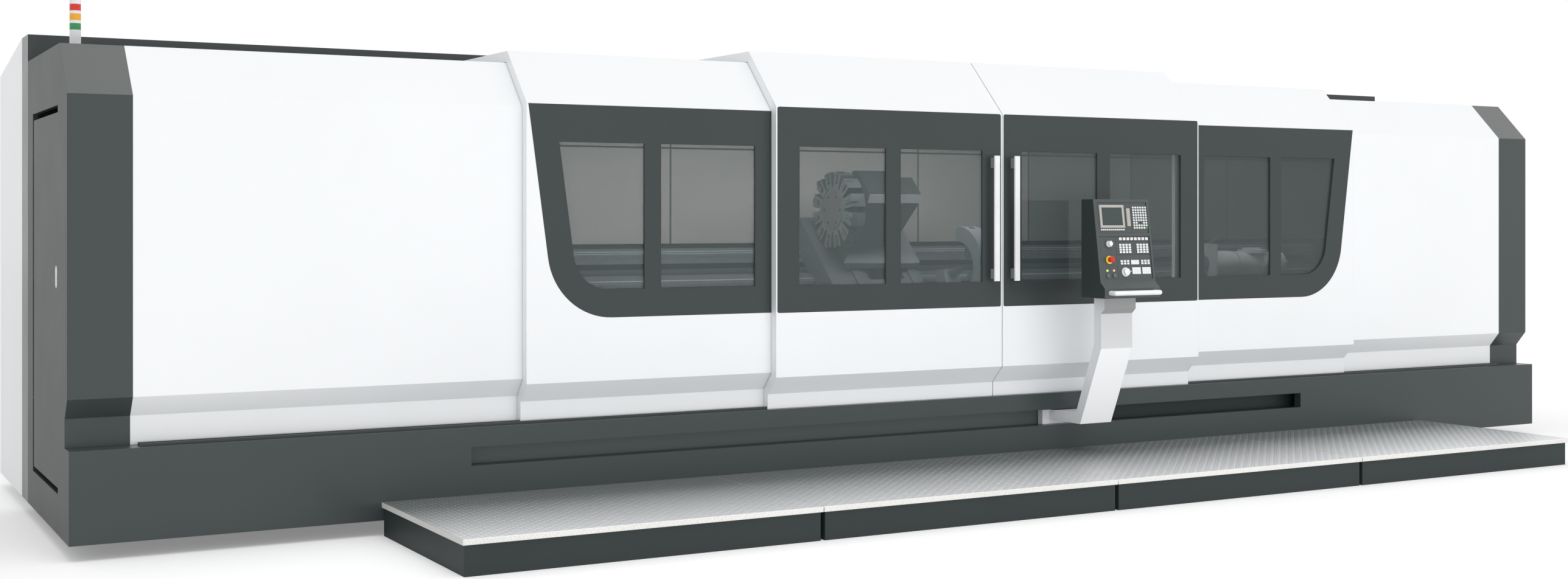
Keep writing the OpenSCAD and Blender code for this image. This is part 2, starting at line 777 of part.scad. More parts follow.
module saddle() color(iron) place() difference() {
    union() {
        slant() along_x(saddle_x, saddle_w) polygon([[saddle_s[0], 4], [saddle_s[1], 4],
            [saddle_top_s, 64], [saddle_top_s, saddle_n], [saddle_s[0], saddle_n]]);
        for (x = rail_x)
            slant_box([x, x + rail_w], [saddle_s[0] + 5, saddle_top_s],
                [saddle_n - 1, saddle_n + cross_rail_h]);
        slant_box([saddle_x + 250, saddle_x + 450], nut_s, [trough_n + 12, 5]);
        slant_box([saddle_x, saddle_x + strip_x], [saddle_s[0] + 5, saddle_top_s - 5],
            [saddle_n - 1, saddle_n + strip_n]);
    }
    for (s = [upper_way_s, lower_way_s])
        slant_box([saddle_x - 1, saddle_x + saddle_w + 1], [s - 0.5, s + way_w + 0.5],
            [-1, way_h + run_gap]);
    slant() translate([saddle_x - 1, screw_s, screw_n]) rotate([0, 90, 0])
        cylinder(h = saddle_w + 2, r = screw_r + fit);
    slant_box([rail_x[0] + rail_w + 40, rail_x[1] - 40],
        [saddle_s[0] + 60, saddle_top_s - 60], [saddle_n - 60, saddle_n + 1]);
}

cross_n = saddle_n + cross_rail_h + run_gap;
cross_top = cross_n + cross_t;
cross_s = [turret_s - 285, turret_s + 255];
plate_t = 6;

module cross_slide() color(steel) place() {
    slant_box(cross_x, cross_s, [cross_n, cross_top]);
    for (x = [cross_x[0], cross_x[1] - gib_w])
        slant_box([x, x + gib_w], cross_s, [saddle_n + run_gap, cross_n + 1]);
    slant() translate([0, 0, cross_top]) linear_extrude(plate_t) polygon([
        [cross_x[0] - 66, cross_s[0]], [cross_x[1] - 56, cross_s[0] - 10],
        [cross_x[1] - 9, cross_s[0] + 47], [cross_x[0] + 211, cross_s[0] + 51],
        [cross_x[0] + 299, cross_s[0] + 149], [cross_x[0] + 66, cross_s[0] + 152]]);
}

disc_x = saddle_x + 57;
housing_x = disc_x + disc_t + 15;
housing_step = saddle_x + 455;
housing_end = saddle_x + 573;
housing_s = [turret_s - 144, turret_s + 135];
housing_n = cross_top + 481;
edge_n = 60;
edge_s = 21;
foot_s = 26;

// Box of the housing along the slope, with the upright band cut across its front upper edge
function housing_outline(back, cut) = [
    [housing_s[0] + foot_s, cross_top], [housing_s[0], housing_n - edge_n],
    [housing_s[0] + edge_s, housing_n], [back - cut, housing_n],
    [back, housing_n - cut], [back, cross_top]];

module turret_rod(x0, l, r) slant() translate([x0, turret_s, swing]) rotate([0, 90, 0])
    cylinder(h = l, r = r);

spindle_r = 60;
spindle_l = 120;
module turret_housing() color(dark) place() difference() {
    union() {
        slant() along_x(housing_x, housing_step - housing_x)
            polygon(housing_outline(housing_s[1], 38));
        slant() along_x(housing_step - 1, housing_end - housing_step + 1)
            polygon(housing_outline(housing_s[1] - 28, 70));
    }
    turret_rod(housing_x - 1, spindle_l + 1, spindle_r + fit);
}

module station(angle) slant() translate([0, turret_s, swing]) rotate([angle, 0, 0]) children();

hub_r = 124;
hub_in = 6;
notch_r = 148;
notch_w = [12, 46];
pocket_r = 172;
tool_r = 185;
module turret_disc() color(iron) place() {
    difference() {
        turret_rod(disc_x, disc_t, disc_r);
        turret_rod(disc_x - 1, hub_in + 1, notch_r - 6);
        for (i = [0 : stations - 1]) station((i + 0.5) * 360 / stations) along_x(disc_x - 1,
            disc_t + 2) polygon([[notch_r, -notch_w[0] / 2], [disc_r + 10, -notch_w[1] / 2],
            [disc_r + 10, notch_w[1] / 2], [notch_r, notch_w[0] / 2]]);
        for (i = [0 : stations - 1]) station(i * 360 / stations)
            translate([disc_x - 1, pocket_r, -14]) cube([46, disc_r, 28]);
    }
    turret_rod(disc_x - 2, hub_in + 3, hub_r);
    turret_rod(disc_x + disc_t - 1, spindle_l, spindle_r);
    for (i = [0 : stations - 1]) station(i * 360 / stations)
        translate([disc_x - 10, tool_r, -13.5]) cube([56, (i % 2 == 0 ? 260 : 245) - tool_r, 27]);
}

/* Tailstock: rides on the lower pair of ways */

quill_out = 150;
barrel_l = 218;
barrel_end = 14;
neck_l = 42;
neck_r = 74;
rear_l = 224;
rear_r = 84;
ring_l = 24;
ring_r = 92;
tail_l = 200;
tail_r = 80;
cone_l = 105;
cone_r = 62;
drum_x = tail_x + 465;
drum_r = 104;
drum_in = 16;
drum_h = 12;
bore_l = 585;
quill_l = 500;
tip_l = 80;
live_l = 98;
shank_r = 20;
flange_h = 236;
flange_w = 250;
flange_t = 18;
flange_drop = 96;
lever_x = tail_x + 46;
lever_rise = 48;
rear_x = tail_x + flange_t + barrel_l + neck_l;
base_n0 = 2;
base_n1 = 90;
base_s = [-450, 88];
tail_base_x = [tail_x + 38, tail_x + 790];

// Foot that rides on both lower ways
module way_foot(x) difference() {
    slant_box(x, base_s, [base_n0, base_n1]);
    for (s = tail_way_s) slant_box([x[0] - 1, x[1] + 1], [s - 0.5, s + tail_way_w + 0.5],
        [base_n0 - 1, rail_h + run_gap]);
}

module tailstock() color(iron) place() difference() {
    union() {
        way_foot(tail_base_x);
        slant() along_x(tail_base_x[0], tail_base_x[1] - tail_base_x[0] - 200) polygon([
            [base_s[0] + 60, base_n1 - 1], [-barrel_r + 5, swing - 40], [barrel_r - 12, swing - 40],
            [barrel_r, base_n1 - 1]]);
        axis_rod(tail_x + flange_t - 1, barrel_l, barrel_r);
        axis_cone(tail_x + flange_t - 2 + barrel_l, barrel_end, barrel_r, neck_r);
        axis_rod(tail_x + flange_t + barrel_l, neck_l + 2, neck_r);
        axis_rod(rear_x, rear_l, rear_r);
        axis_rod(rear_x + rear_l - 1, ring_l + 2, ring_r);
        axis_rod(rear_x + rear_l + ring_l, tail_l, tail_r);
        axis_cone(rear_x + rear_l + ring_l + tail_l - 1, cone_l, cone_r, 2);
        translate([drum_x, axis_y, axis_z + rear_r - drum_in]) {
            cylinder(h = drum_in + drum_h, r = drum_r);
            cylinder(h = drum_in + 2 * drum_h, r = drum_r * 0.65);
        }
        slab([tail_x, tail_x + flange_t], [axis_y - flange_w / 2, axis_y + flange_w / 2],
            [axis_z - flange_drop, axis_z - flange_drop + flange_h]);
        translate([lever_x, axis_y, axis_z + barrel_r - 20]) cylinder(h = lever_rise + 20, r = 22);
    }
    axis_rod(tail_x - 1, bore_l, quill_r + fit);
}

module tailstock_quill() color(steel) place() difference() {
    axis_rod(tail_x - quill_out, quill_l, quill_r);
    axis_rod(tail_x - quill_out - 1, 91, shank_r + fit);
}

module live_centre() color(steel) place() {
    x = tail_x - quill_out - 0.3;
    axis_rod(x - live_l, live_l, 50);
    axis_rod(x - 1, 80, shank_r);
    axis_cone(x - live_l - tip_l, tip_l + 0.5, 0.5, 46);
}

lever_z = axis_z + barrel_r + lever_rise;
lever_l = 52;
lever_lean = 66;
module clamp_lever() color(steel) place() translate([lever_x, axis_y, lever_z + run_gap]) {
    cylinder(h = 16, r = 20);
    translate([0, 0, 8]) rotate([0, lever_lean, 0]) {
        cylinder(h = lever_l, r = 8);
        translate([0, 0, lever_l - 4]) cylinder(h = 28, r = 12);
    }
}

/* Steady rest */

throat_open = 50;
tip_r = (steady_r - throat_r) / 2;
mid_r = (steady_r + throat_r) / 2;
steady_foot_x = [steady_x - 35, steady_x + steady_w + 35];
quill_angles = [60, 180, 300];
steady_quill_r = 24;
rest_r = 62;

module at_quill(angle) slant() translate([steady_x + steady_w / 2, 0, swing])
    rotate([angle, 0, 0]) rotate([-90, 0, 0]) children();

arc_steps = 52;
arc_step = (360 - 2 * throat_open) / arc_steps;
function polar(r, t) = [r * cos(t), r * sin(t)];

// Open ring with one rounded tip, from the upper end of the opening round to the lower one
function c_outline() = concat(
    [for (i = [0 : arc_steps]) polar(steady_r, throat_open + i * arc_step)],
    [for (i = [arc_steps : -1 : 0]) polar(throat_r, throat_open + i * arc_step)],
    [for (t = [15 : 15 : 165]) polar(mid_r, throat_open)
        + polar(tip_r, throat_open + 180 + t)]);

module steady_rest() color(iron) place() difference() {
    union() {
        slant() along_x(steady_x, steady_w) {
            translate([0, swing]) polygon(c_outline());
            polygon([[-260, base_n1 - 1], [-185, 310], [-60, 230], [50, 232],
                [80, base_n1 - 1]]);
        }
        way_foot(steady_foot_x);
    }
    for (angle = quill_angles) at_quill(angle) translate([0, 0, 140])
        cylinder(h = 140, r = steady_quill_r + fit);
}

module steady_quill(angle) color(steel) place() at_quill(angle) {
    translate([0, 0, rest_r + 12]) cylinder(h = 155, r = steady_quill_r);
    translate([0, 0, rest_r]) cylinder(h = 13, r1 = 14, r2 = 18);
}
module steady_quill_top() steady_quill(quill_angles[0]);
module steady_quill_front() steady_quill(quill_angles[1]);
module steady_quill_bottom() steady_quill(quill_angles[2]);

/* Control arm and pendant */

arm_t = 66;
arm_back = -385;
head_front = -484;
carriage_x = [arm_x - 52, arm_x + arm_w + 53];
carriage_y = [apron_t + 2, apron_t + 50];
swivel_x = arm_x + arm_w / 2;
swivel_y = -440;
arm_top = pendant_z - 8;

module control_arm() color(white) place() {
    along_x(arm_x, arm_w) polygon([[carriage_y[1] - 10, slot_z + 28], [-249, slot_z + 28],
        [arm_back - arm_t, 836], [arm_back - arm_t, 1050], [head_front, 1080],
        [head_front, arm_top], [arm_back, arm_top], [arm_back, 862], [-209, slot_z + 100],
        [-40, slot_z + 92], [carriage_y[1] - 10, slot_z + 92]]);
    difference() {
        slab(carriage_x, carriage_y, [slot_z - 42, slot_z + slot_h + 42]);
        for (z = [slot_z - 12 - rail_size, slot_z + slot_h + 12])
            slab([carriage_x[0] - 1, carriage_x[1] + 1],
                [apron_t, apron_t + rail_size + run_gap],
                [z - run_gap, z + rail_size + run_gap]);
    }
    translate([swivel_x, swivel_y, arm_top - 1]) cylinder(h = 52, r = swivel_r);
}

pendant_x = swivel_x - pendant_w / 2;
pendant_top = pendant_z + pendant_h;
face_top = [-488, pendant_top];
face_low = [-560, pendant_z + 94];
pendant_back = -379;
nose_y = -600;
face_angle = atan((face_top[0] - face_low[0]) / (face_top[1] - face_low[1]));
recess = 5;

// On the slanted face: U across from the left edge, V down from the top edge, +Z outwards
module on_face(u, v, lift) translate([pendant_x, face_top[0], face_top[1]])
    rotate([90 - face_angle, 0, 0]) translate([u, -v, lift]) children();

// A plate on the face, given by its corners in U and V
module face_plate(u, v, w, h, lift, t) on_face(u, v + h, lift) cube([w, h, t]);

upper_plate = [20, 19, 395, 190];
lower_plate = [20, 228, 395, 265];
knob_at = [92, 275];
stop_at = [87, 372];
wheel_at = [203, 448];
button_at = [[64, 469], [115, 469]];
lamp_at = [[62, 438], [113, 438]];
button_r = 12;
knob_shaft_r = 6;
stop_shaft_r = 11;
wheel_shaft_r = 8;
wheel_r = 28;
dial_t = 2;

module pendant_housing() color(dark) place() difference() {
    union() {
        along_x(pendant_x, pendant_w) polygon([[pendant_back, pendant_z],
            [pendant_back, pendant_top], face_top, face_low, [nose_y, pendant_z + 59],
            [nose_y, pendant_z]]);
        translate([swivel_x, swivel_y, arm_top + run_gap])
            cylinder(h = 8, r = swivel_r + 25);
    }
    translate([swivel_x, swivel_y, arm_top - 1]) cylinder(h = 56, r = swivel_r + fit);
    for (p = [upper_plate, lower_plate]) face_plate(p[0], p[1], p[2], p[3], -recess, 20);
    on_face(knob_at[0], knob_at[1], -40) cylinder(h = 60, r = knob_shaft_r + fit);
    on_face(stop_at[0], stop_at[1], -40) cylinder(h = 60, r = stop_shaft_r + fit);
    on_face(wheel_at[0], wheel_at[1], -40) cylinder(h = 60, r = wheel_shaft_r + fit);
    for (b = button_at) on_face(b[0], b[1], -40) cylinder(h = 60, r = button_r + fit);
}

module pendant_handle() color(white) place() {
    tube_z = pendant_z + 31;
    tube_y = -650;
    tube_r = 15;
    translate([pendant_x + 45, tube_y, tube_z]) rotate([0, 90, 0])
        cylinder(h = pendant_w - 90, r = tube_r);
    for (x = [pendant_x + 45, pendant_x + pendant_w - 45]) {
        translate([x, tube_y, tube_z]) sphere(r = tube_r);
        translate([x, tube_y, tube_z]) rotate([-90, 0, 0]) cylinder(h = nose_y - tube_y, r = tube_r);
    }
}

// Screen unit with its row of soft keys
module pendant_screen() color("gainsboro") place() {
    difference() {
        face_plate(40, 35, 190, 141, -recess, 8);
        face_plate(56, 51, 158, 110, 1, 10);
    }
    face_plate(250, 56, 27, 110, -recess, 7);
}

key_t = 2;
module key_pad(u, v, cols, rows, du, dv, w, h) {
    face_plate(u - w / 2 - 3, v - h / 2 - 2, (cols - 1) * du + w + 6, (rows - 1) * dv + h + 4,
        -recess, 1.5);
    for (i = [0 : cols - 1], j = [0 : rows - 1])
        face_plate(u + i * du - w / 2, v + j * dv - h / 2, w, h, -recess, 1.5 + key_t);
}

module pendant_controls() color("whitesmoke") place() {
    key_pad(48, 187, 12, 1, 15.7, 0, 11.5, 9);
    key_pad(307, 50, 6, 9, 19.6, 15.8, 12.5, 10.5);
    key_pad(186, 244, 8, 1, 29.6, 0, 20, 17);
    key_pad(181, 281, 4, 4, 24.6, 15, 17, 12);
    key_pad(318, 281, 4, 4, 24.4, 15, 17, 12);
    key_pad(181, 381, 3, 2, 25, 15, 17, 12);
    key_pad(285, 388.5, 1, 1, 0, 0, 62, 27);
    key_pad(342, 381, 3, 2, 25, 15, 17, 12);
    key_pad(291, 441, 1, 1, 0, 0, 66, 41);
    key_pad(370, 441, 1, 1, 0, 0, 66, 41);
    on_face(knob_at[0], knob_at[1], -recess) difference() {
        cylinder(h = dial_t, r = 29);
        translate([0, 0, -1]) cylinder(h = dial_t + 2, r = knob_shaft_r + fit);
    }
    on_face(stop_at[0], stop_at[1], -recess) difference() {
        cylinder(h = dial_t + 1, r = 25);
        translate([0, 0, -1]) cylinder(h = dial_t + 3, r = stop_shaft_r + fit);
    }
    for (p = lamp_at) on_face(p[0], p[1], -recess) cylinder(h = 6, r = 7);
}

module feed_knob() color(white) place()
    on_face(knob_at[0], knob_at[1], dial_t + run_gap - recess) {
    difference() {
        union() {
            cylinder(h = 6, r = 19);
            cylinder(h = 24, r = 14);
            translate([-5, -17, 0]) cube([10, 34, 24]);
        }
        translate([-1, 8, 23]) cube([2, 10, 3]);
    }
    translate([0, 0, -30]) cylinder(h = 31, r = knob_shaft_r);
}

module stop_button() color("red") place() on_face(stop_at[0], stop_at[1], -recess) {
    translate([0, 0, 12]) cylinder(h = 8, r = 17);
    translate([0, 0, 20]) cylinder(h = 12, r1 = 17, r2 = 19);
    translate([0, 0, 32]) cylinder(h = 5, r1 = 19, r2 = 14);
    translate([0, 0, -22]) cylinder(h = 36, r = stop_shaft_r);
}

module handwheel() color(white) place() on_face(wheel_at[0], wheel_at[1], -recess + run_gap) {
    cylinder(h = 5, r = wheel_r);
    translate([0, 0, 4]) cylinder(h = 18, r = wheel_r - 7);
    translate([wheel_r - 12, 0, 21]) cylinder(h = 15, r1 = 4, r2 = 3);
    translate([0, 0, -30]) cylinder(h = 31, r = wheel_shaft_r);
}

module push_button(b) color(dark) place() on_face(b[0], b[1], -recess) {
    translate([0, 0, -24]) cylinder(h = 24 + button_travel + 4, r = button_r);
}
module button_left() push_button(button_at[0]);
module button_right() push_button(button_at[1]);

/* Platform */

section_gap = 26;
tread_gap = 5;
box_in = 12;
box_wall = 20;
module platform_boxes() color(dark) place() for (i = [0 : sections - 1]) {
    x0 = platform_x + i * section_l;
    difference() {
        slab([x0 + section_gap / 2, x0 + section_l - section_gap / 2],
            [box_in - platform_d, -3], [0, platform_h - tread_t]);
        for (j = [0 : 2]) slab([x0 + section_gap / 2 + box_wall + j * (section_l - 46) / 3,
            x0 + section_gap / 2 + (j + 1) * (section_l - 46) / 3],
            [box_in - platform_d + box_wall, -3 - box_wall], [-1, platform_h - tread_t - 10]);
    }
    slab([x0 + 60, x0 + section_l - 60], [-4, 60], [0, floor_gap - 10]);
}

module platform_treads() color(steel) place() for (i = [0 : sections - 1])
    slab([platform_x + i * section_l + tread_gap / 2,
        platform_x + (i + 1) * section_l - tread_gap / 2],
        [-platform_d, 0], [platform_h - tread_t, platform_h]);

/* Signal light */

lamp_x = 151;
lamp_y = 872;
mast_h = 121;
ring_h = 16;
lamp_pitch = lens_h + ring_h;
cap_h = 23;
core_r = 14;
module signal_post() color(white) place() translate([lamp_x, lamp_y, roof_z]) {
    cylinder(h = 12, r = lamp_r + 12);
    cylinder(h = mast_h, r = lamp_r);
    cylinder(h = mast_h + 3 * lamp_pitch, r = core_r);
    for (i = [1 : 2]) translate([0, 0, mast_h + i * lamp_pitch - ring_h])
        cylinder(h = ring_h, r = lamp_r);
    translate([0, 0, mast_h + 3 * lamp_pitch - ring_h]) cylinder(h = cap_h, r = lamp_r);
}

module signal_lenses() color("gold") place() translate([lamp_x, lamp_y, roof_z])
    for (i = [0 : 2]) translate([0, 0, mast_h + i * lamp_pitch]) difference() {
        cylinder(h = lens_h, r = lamp_r);
        translate([0, 0, -1]) cylinder(h = lens_h + 2, r = core_r + fit);
    }

base_casing();
levelling_feet();
bed();
feed_screw();
left_end_cap();
left_cover();
right_cover();
right_end_cap();
cabinet_frame();
rear_cabinet();
cabinet_door();
back_wall();
headstock();
door_guide_rails();
platform_boxes();
platform_treads();
signal_post();
signal_lenses();
side_door();
side_door_latch();
outer_door_left();
outer_frame_left();
outer_pane_left();
inner_door_left();
inner_frame_left();
inner_pane_left();
handle_left();
inner_door_right();
inner_frame_right();
inner_pane_right();
handle_right();
outer_door_right();
outer_frame_right();
outer_pane_right();
chuck();
chuck_jaw_1();
chuck_jaw_2();
chuck_jaw_3();
saddle();
cross_slide();
turret_housing();
turret_disc();
tailstock();
tailstock_quill();
live_centre();
clamp_lever();
steady_rest();
steady_quill_top();
steady_quill_front();
steady_quill_bottom();
control_arm();
pendant_housing();
pendant_handle();
pendant_screen();
pendant_controls();
feed_knob();
stop_button();
handwheel();
button_left();
button_right();
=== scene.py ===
"""Looks of the long slant-bed turning lathe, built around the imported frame. Metres, +Z up."""
import json
import math

import bpy
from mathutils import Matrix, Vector

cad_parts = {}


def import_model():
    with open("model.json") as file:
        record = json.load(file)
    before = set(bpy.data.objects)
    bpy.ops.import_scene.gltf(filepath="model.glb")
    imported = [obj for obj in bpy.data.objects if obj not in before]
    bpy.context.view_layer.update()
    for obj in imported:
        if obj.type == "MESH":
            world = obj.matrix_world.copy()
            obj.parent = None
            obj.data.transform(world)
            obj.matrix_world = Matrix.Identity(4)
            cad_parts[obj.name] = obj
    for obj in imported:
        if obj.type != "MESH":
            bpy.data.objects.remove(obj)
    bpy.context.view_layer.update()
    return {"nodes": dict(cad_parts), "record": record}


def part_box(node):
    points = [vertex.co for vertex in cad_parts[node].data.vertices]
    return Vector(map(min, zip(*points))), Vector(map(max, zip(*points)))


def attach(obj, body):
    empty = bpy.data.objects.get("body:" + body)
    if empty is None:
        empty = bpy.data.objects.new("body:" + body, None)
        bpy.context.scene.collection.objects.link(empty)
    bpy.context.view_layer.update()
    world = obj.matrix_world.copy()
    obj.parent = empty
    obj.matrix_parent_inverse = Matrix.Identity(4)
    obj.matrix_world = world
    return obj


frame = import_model()
NODES = frame["nodes"]

# Machine frame in millimetres: X from the left end of the base, Y from its front face, Z from
# the floor
BASE_LOW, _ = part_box("base_casing")
MM = 0.001


def machine(x, y, z):
    return Vector((BASE_LOW.x + x * MM, BASE_LOW.y + y * MM, z * MM))


def machine_mm(point):
    return (point.x - BASE_LOW.x) / MM, (point.y - BASE_LOW.y) / MM, point.z / MM


# Slant frame of the bed: S up the slope, N square to the bed face
SWING = 450.0
AXIS_Y, AXIS_Z = 670.0, 1312.0
HALF_ROOT = math.sqrt(0.5)
FOOT_Y = AXIS_Y + SWING * HALF_ROOT
FOOT_Z = AXIS_Z - SWING * HALF_ROOT
UP_SLOPE = Vector((0, HALF_ROOT, HALF_ROOT))
OFF_SLOPE = Vector((0, -HALF_ROOT, HALF_ROOT))


def slant(x, s, n):
    return machine(x, FOOT_Y + (s - n) * HALF_ROOT, FOOT_Z + (s + n) * HALF_ROOT)


def slant_mm(point):
    x, y, z = machine_mm(point)
    return x, (y - FOOT_Y + z - FOOT_Z) * HALF_ROOT, (z - FOOT_Z - y + FOOT_Y) * HALF_ROOT


# Face of the pendant: U across from its left edge, V down from its top edge, LIFT outwards
PENDANT_LOW, PENDANT_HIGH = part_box("pendant_housing")
PENDANT_X, _, PENDANT_TOP = machine_mm(Vector((PENDANT_LOW.x, 0, PENDANT_HIGH.z)))
FACE_TOP_Y = -488.0
FACE_TILT = math.atan2(72, 505)
FACE_RECESS = -5.0


def on_face(u, v, lift):
    sine, cosine = math.sin(FACE_TILT), math.cos(FACE_TILT)
    return machine(PENDANT_X + u, FACE_TOP_Y - v * sine - lift * cosine,
                   PENDANT_TOP - v * cosine + lift * sine)


def face_mm(point):
    x, y, z = machine_mm(point)
    sine, cosine = math.sin(FACE_TILT), math.cos(FACE_TILT)
    dy, dz = y - FACE_TOP_Y, z - PENDANT_TOP
    return x - PENDANT_X, -(dy * sine + dz * cosine), dz * sine - dy * cosine


# Camera, at the photograph's place
CAMERA_PLACE = (-1249.0, -9099.0, 1643.0)
CAMERA_YAW = -29.45
CAMERA_LENS = 41.4
CAMERA_SENSOR = 36.0
CAMERA_SHIFT = -0.0462
CAMERA_REACH = 200.0

camera_data = bpy.data.cameras.new("camera")
camera_data.lens = CAMERA_LENS
camera_data.sensor_width = CAMERA_SENSOR
camera_data.shift_y = CAMERA_SHIFT
camera_data.clip_end = CAMERA_REACH
camera = bpy.data.objects.new("camera", camera_data)
bpy.context.scene.collection.objects.link(camera)
camera.location = machine(*CAMERA_PLACE)
camera.rotation_euler = (math.radians(90), 0, math.radians(CAMERA_YAW))
bpy.context.scene.camera = camera
bpy.context.scene.view_settings.view_transform = "Standard"


# Materials

def linear(red, green, blue):
    """A colour written as 0 to 255 screen values, as linear light."""
    parts = [c / 255 for c in (red, green, blue)]
    return [c / 12.92 if c <= 0.04045 else ((c + 0.055) / 1.055) ** 2.4 for c in parts]


class Shader:
    """A material under construction: adds nodes and links them."""

    def __init__(self, name):
        self.material = bpy.data.materials.new(name)
        self.material.use_nodes = True
        self.tree = self.material.node_tree
        self.bsdf = self.tree.nodes["Principled BSDF"]

    def node(self, kind, **values):
        made = self.tree.nodes.new(kind)
        for key, value in values.items():
            setattr(made, key, value)
        return made

    def link(self, out, into):
        self.tree.links.new(out, into)

    def place(self, stretch=(1, 1, 1)):
        coordinate = self.node("ShaderNodeTexCoord")
        mapping = self.node("ShaderNodeMapping")
        mapping.inputs["Scale"].default_value = stretch
        self.link(coordinate.outputs["Object"], mapping.inputs["Vector"])
        return mapping.outputs["Vector"]

    def noise(self, scale, detail=3.0, stretch=(1, 1, 1), roughness=0.5):
        made = self.node("ShaderNodeTexNoise")
        made.inputs["Scale"].default_value = scale
        made.inputs["Detail"].default_value = detail
        made.inputs["Roughness"].default_value = roughness
        self.link(self.place(stretch), made.inputs["Vector"])
        return made.outputs["Fac"]

    def between(self, fac, low, high, lo=0.35, hi=0.65):
        """Maps a texture value from lo..hi to a number from low to high."""
        made = self.node("ShaderNodeMapRange")
        made.inputs["From Min"].default_value = lo
        made.inputs["From Max"].default_value = hi
        made.inputs["To Min"].default_value = low
        made.inputs["To Max"].default_value = high
        self.link(fac, made.inputs["Value"])
        return made.outputs["Result"]

    def along(self, axis, start, end):
        """A value from 0 to 1 along one axis of the frame, between two places in metres."""
        split = self.node("ShaderNodeSeparateXYZ")
        self.link(self.place(), split.inputs["Vector"])
        return self.between(split.outputs[axis], 0.0, 1.0, start, end)

    def mix(self, fac, first, second):
        made = self.node("ShaderNodeMix", data_type="RGBA")
        for index, colour in ((6, first), (7, second)):
            made.inputs[index].default_value = (*colour[:3], 1)
        self.link(fac, made.inputs[0])
        return made.outputs[2]

    def tone(self, fac, colour, darker, lighter):
        """Base colour that drifts with a texture, from darker to lighter times the colour."""
        low = [c * darker for c in colour]
        high = [min(1.0, c * lighter) for c in colour]
        self.link(self.mix(self.between(fac, 0.0, 1.0), low, high), self.bsdf.inputs["Base Color"])

    def bump(self, height, strength, distance, soft_edge):
        made = self.node("ShaderNodeBump")
        made.inputs["Strength"].default_value = strength
        made.inputs["Distance"].default_value = distance
        self.link(height, made.inputs["Height"])
        bevel = self.node("ShaderNodeBevel", samples=4)
        bevel.inputs["Radius"].default_value = soft_edge
        self.link(bevel.outputs["Normal"], made.inputs["Normal"])
        self.link(made.outputs["Normal"], self.bsdf.inputs["Normal"])

    def set(self, **values):
        for key, value in values.items():
            self.bsdf.inputs[key.replace("_", " ")].default_value = value


def paint(name, colour, roughness, variation=0.02, gloss_drift=0.02, grain=900.0, depth=0.12,
          coat=0.0, edge=0.003, specular=0.5):
    """Powder-coated or sprayed sheet: fine orange peel, faint cloudiness and soft edges."""
    shader = Shader(name)
    shader.tone(shader.noise(1.3, 4.0), colour, 1 - variation, 1 + variation)
    shader.link(shader.between(shader.noise(3.1, 5.0), roughness - gloss_drift,
                               roughness + gloss_drift), shader.bsdf.inputs["Roughness"])
    shader.bump(shader.noise(grain, 2.0), depth, 0.0004, edge)
    shader.set(Coat_Weight=coat, Coat_Roughness=0.2, Specular_IOR_Level=specular)
    return shader.material


def metal(name, colour, roughness, stretch=(1, 40, 40), grain=60.0, variation=0.1,
          metallic=1.0):
    """Ground or turned metal, with the fine lines of its finish along one direction."""
    shader = Shader(name)
    lines = shader.noise(grain, 4.0, stretch, 0.6)
    shader.tone(lines, colour, 1 - variation, 1 + variation)
    shader.link(shader.between(lines, roughness - 0.06, roughness + 0.08),
                shader.bsdf.inputs["Roughness"])
    shader.bump(lines, 0.05, 0.0003, 0.0015)
    shader.set(Metallic=metallic)
    return shader.material


def tread_metal_painted_shade(name, apron_shade, front_light, apron_shade_y, front_light_y):
    """Tread plate: painted shade along the apron, painted light toward its front edge."""
    shader = Shader(name)
    grime = shader.noise(90.0, 4.0, (8, 8, 8), 0.6)
    shader.link(shader.mix(shader.along("Y", apron_shade_y, front_light_y), apron_shade, front_light),
                shader.bsdf.inputs["Base Color"])
    shader.link(shader.between(grime, 0.33, 0.47), shader.bsdf.inputs["Roughness"])
    shader.bump(grime, 0.05, 0.0003, 0.0015)
    shader.set(Metallic=0.5)
    return shader.material


def light_and_shade_liner(name, lit_tone, shaded_tone, lit_x, shaded_x):
    """Liner of the slot: painted light to the left, painted shade to the right."""
    shader = Shader(name)
    shader.link(shader.mix(shader.along("X", lit_x, shaded_x), lit_tone, shaded_tone),
                shader.bsdf.inputs["Base Color"])
    shader.bump(shader.noise(900.0, 2.0), 0.12, 0.0004, 0.003)
    shader.set(Roughness=0.5)
    return shader.material


def plastic(name, colour, roughness, grain=700.0, depth=0.08, specular=0.5):
    """Moulded plastic or rubber, with a fine skin."""
    shader = Shader(name)
    shader.tone(shader.noise(9.0, 3.0), colour, 0.95, 1.0)
    shader.bump(shader.noise(grain, 2.0), depth, 0.0003, 0.0008)
    shader.set(Roughness=roughness, Specular_IOR_Level=specular)
    return shader.material


def casting(name, colour, roughness=0.6, specular=0.3):
    """Painted casting: a coarse skin under the paint."""
    shader = Shader(name)
    shader.tone(shader.noise(5.0, 5.0), colour, 0.9, 1.04)
    shader.bump(shader.noise(120.0, 2.0), 0.2, 0.001, 0.004)
    shader.set(Roughness=roughness, Specular_IOR_Level=specular)
    return shader.material


def pane(name, colour, alpha):
    """Tinted window: a dark film that lets part of the light through, with a mirror-like face."""
    shader = Shader(name)
    streak = shader.noise(2.2, 3.0)
    shader.link(shader.between(streak, 0.04, 0.08), shader.bsdf.inputs["Roughness"])
    shader.tone(streak, colour, 1.0, 1.08)
    shader.set(Alpha=alpha, IOR=1.45)
    return shader.material


def glowing(name, colour, strength):
    """Small lit lens."""
    shader = Shader(name)
    shader.tone(shader.noise(300.0, 2.0), colour, 0.9, 1.0)
    shader.set(Roughness=0.25, Emission_Color=(*colour, 1), Emission_Strength=strength)
    return shader.material


# Front edge of the tread plates and the apron behind them, in metres
TREAD_FRONT_Y, TREAD_BACK_Y = -2.05, -1.09
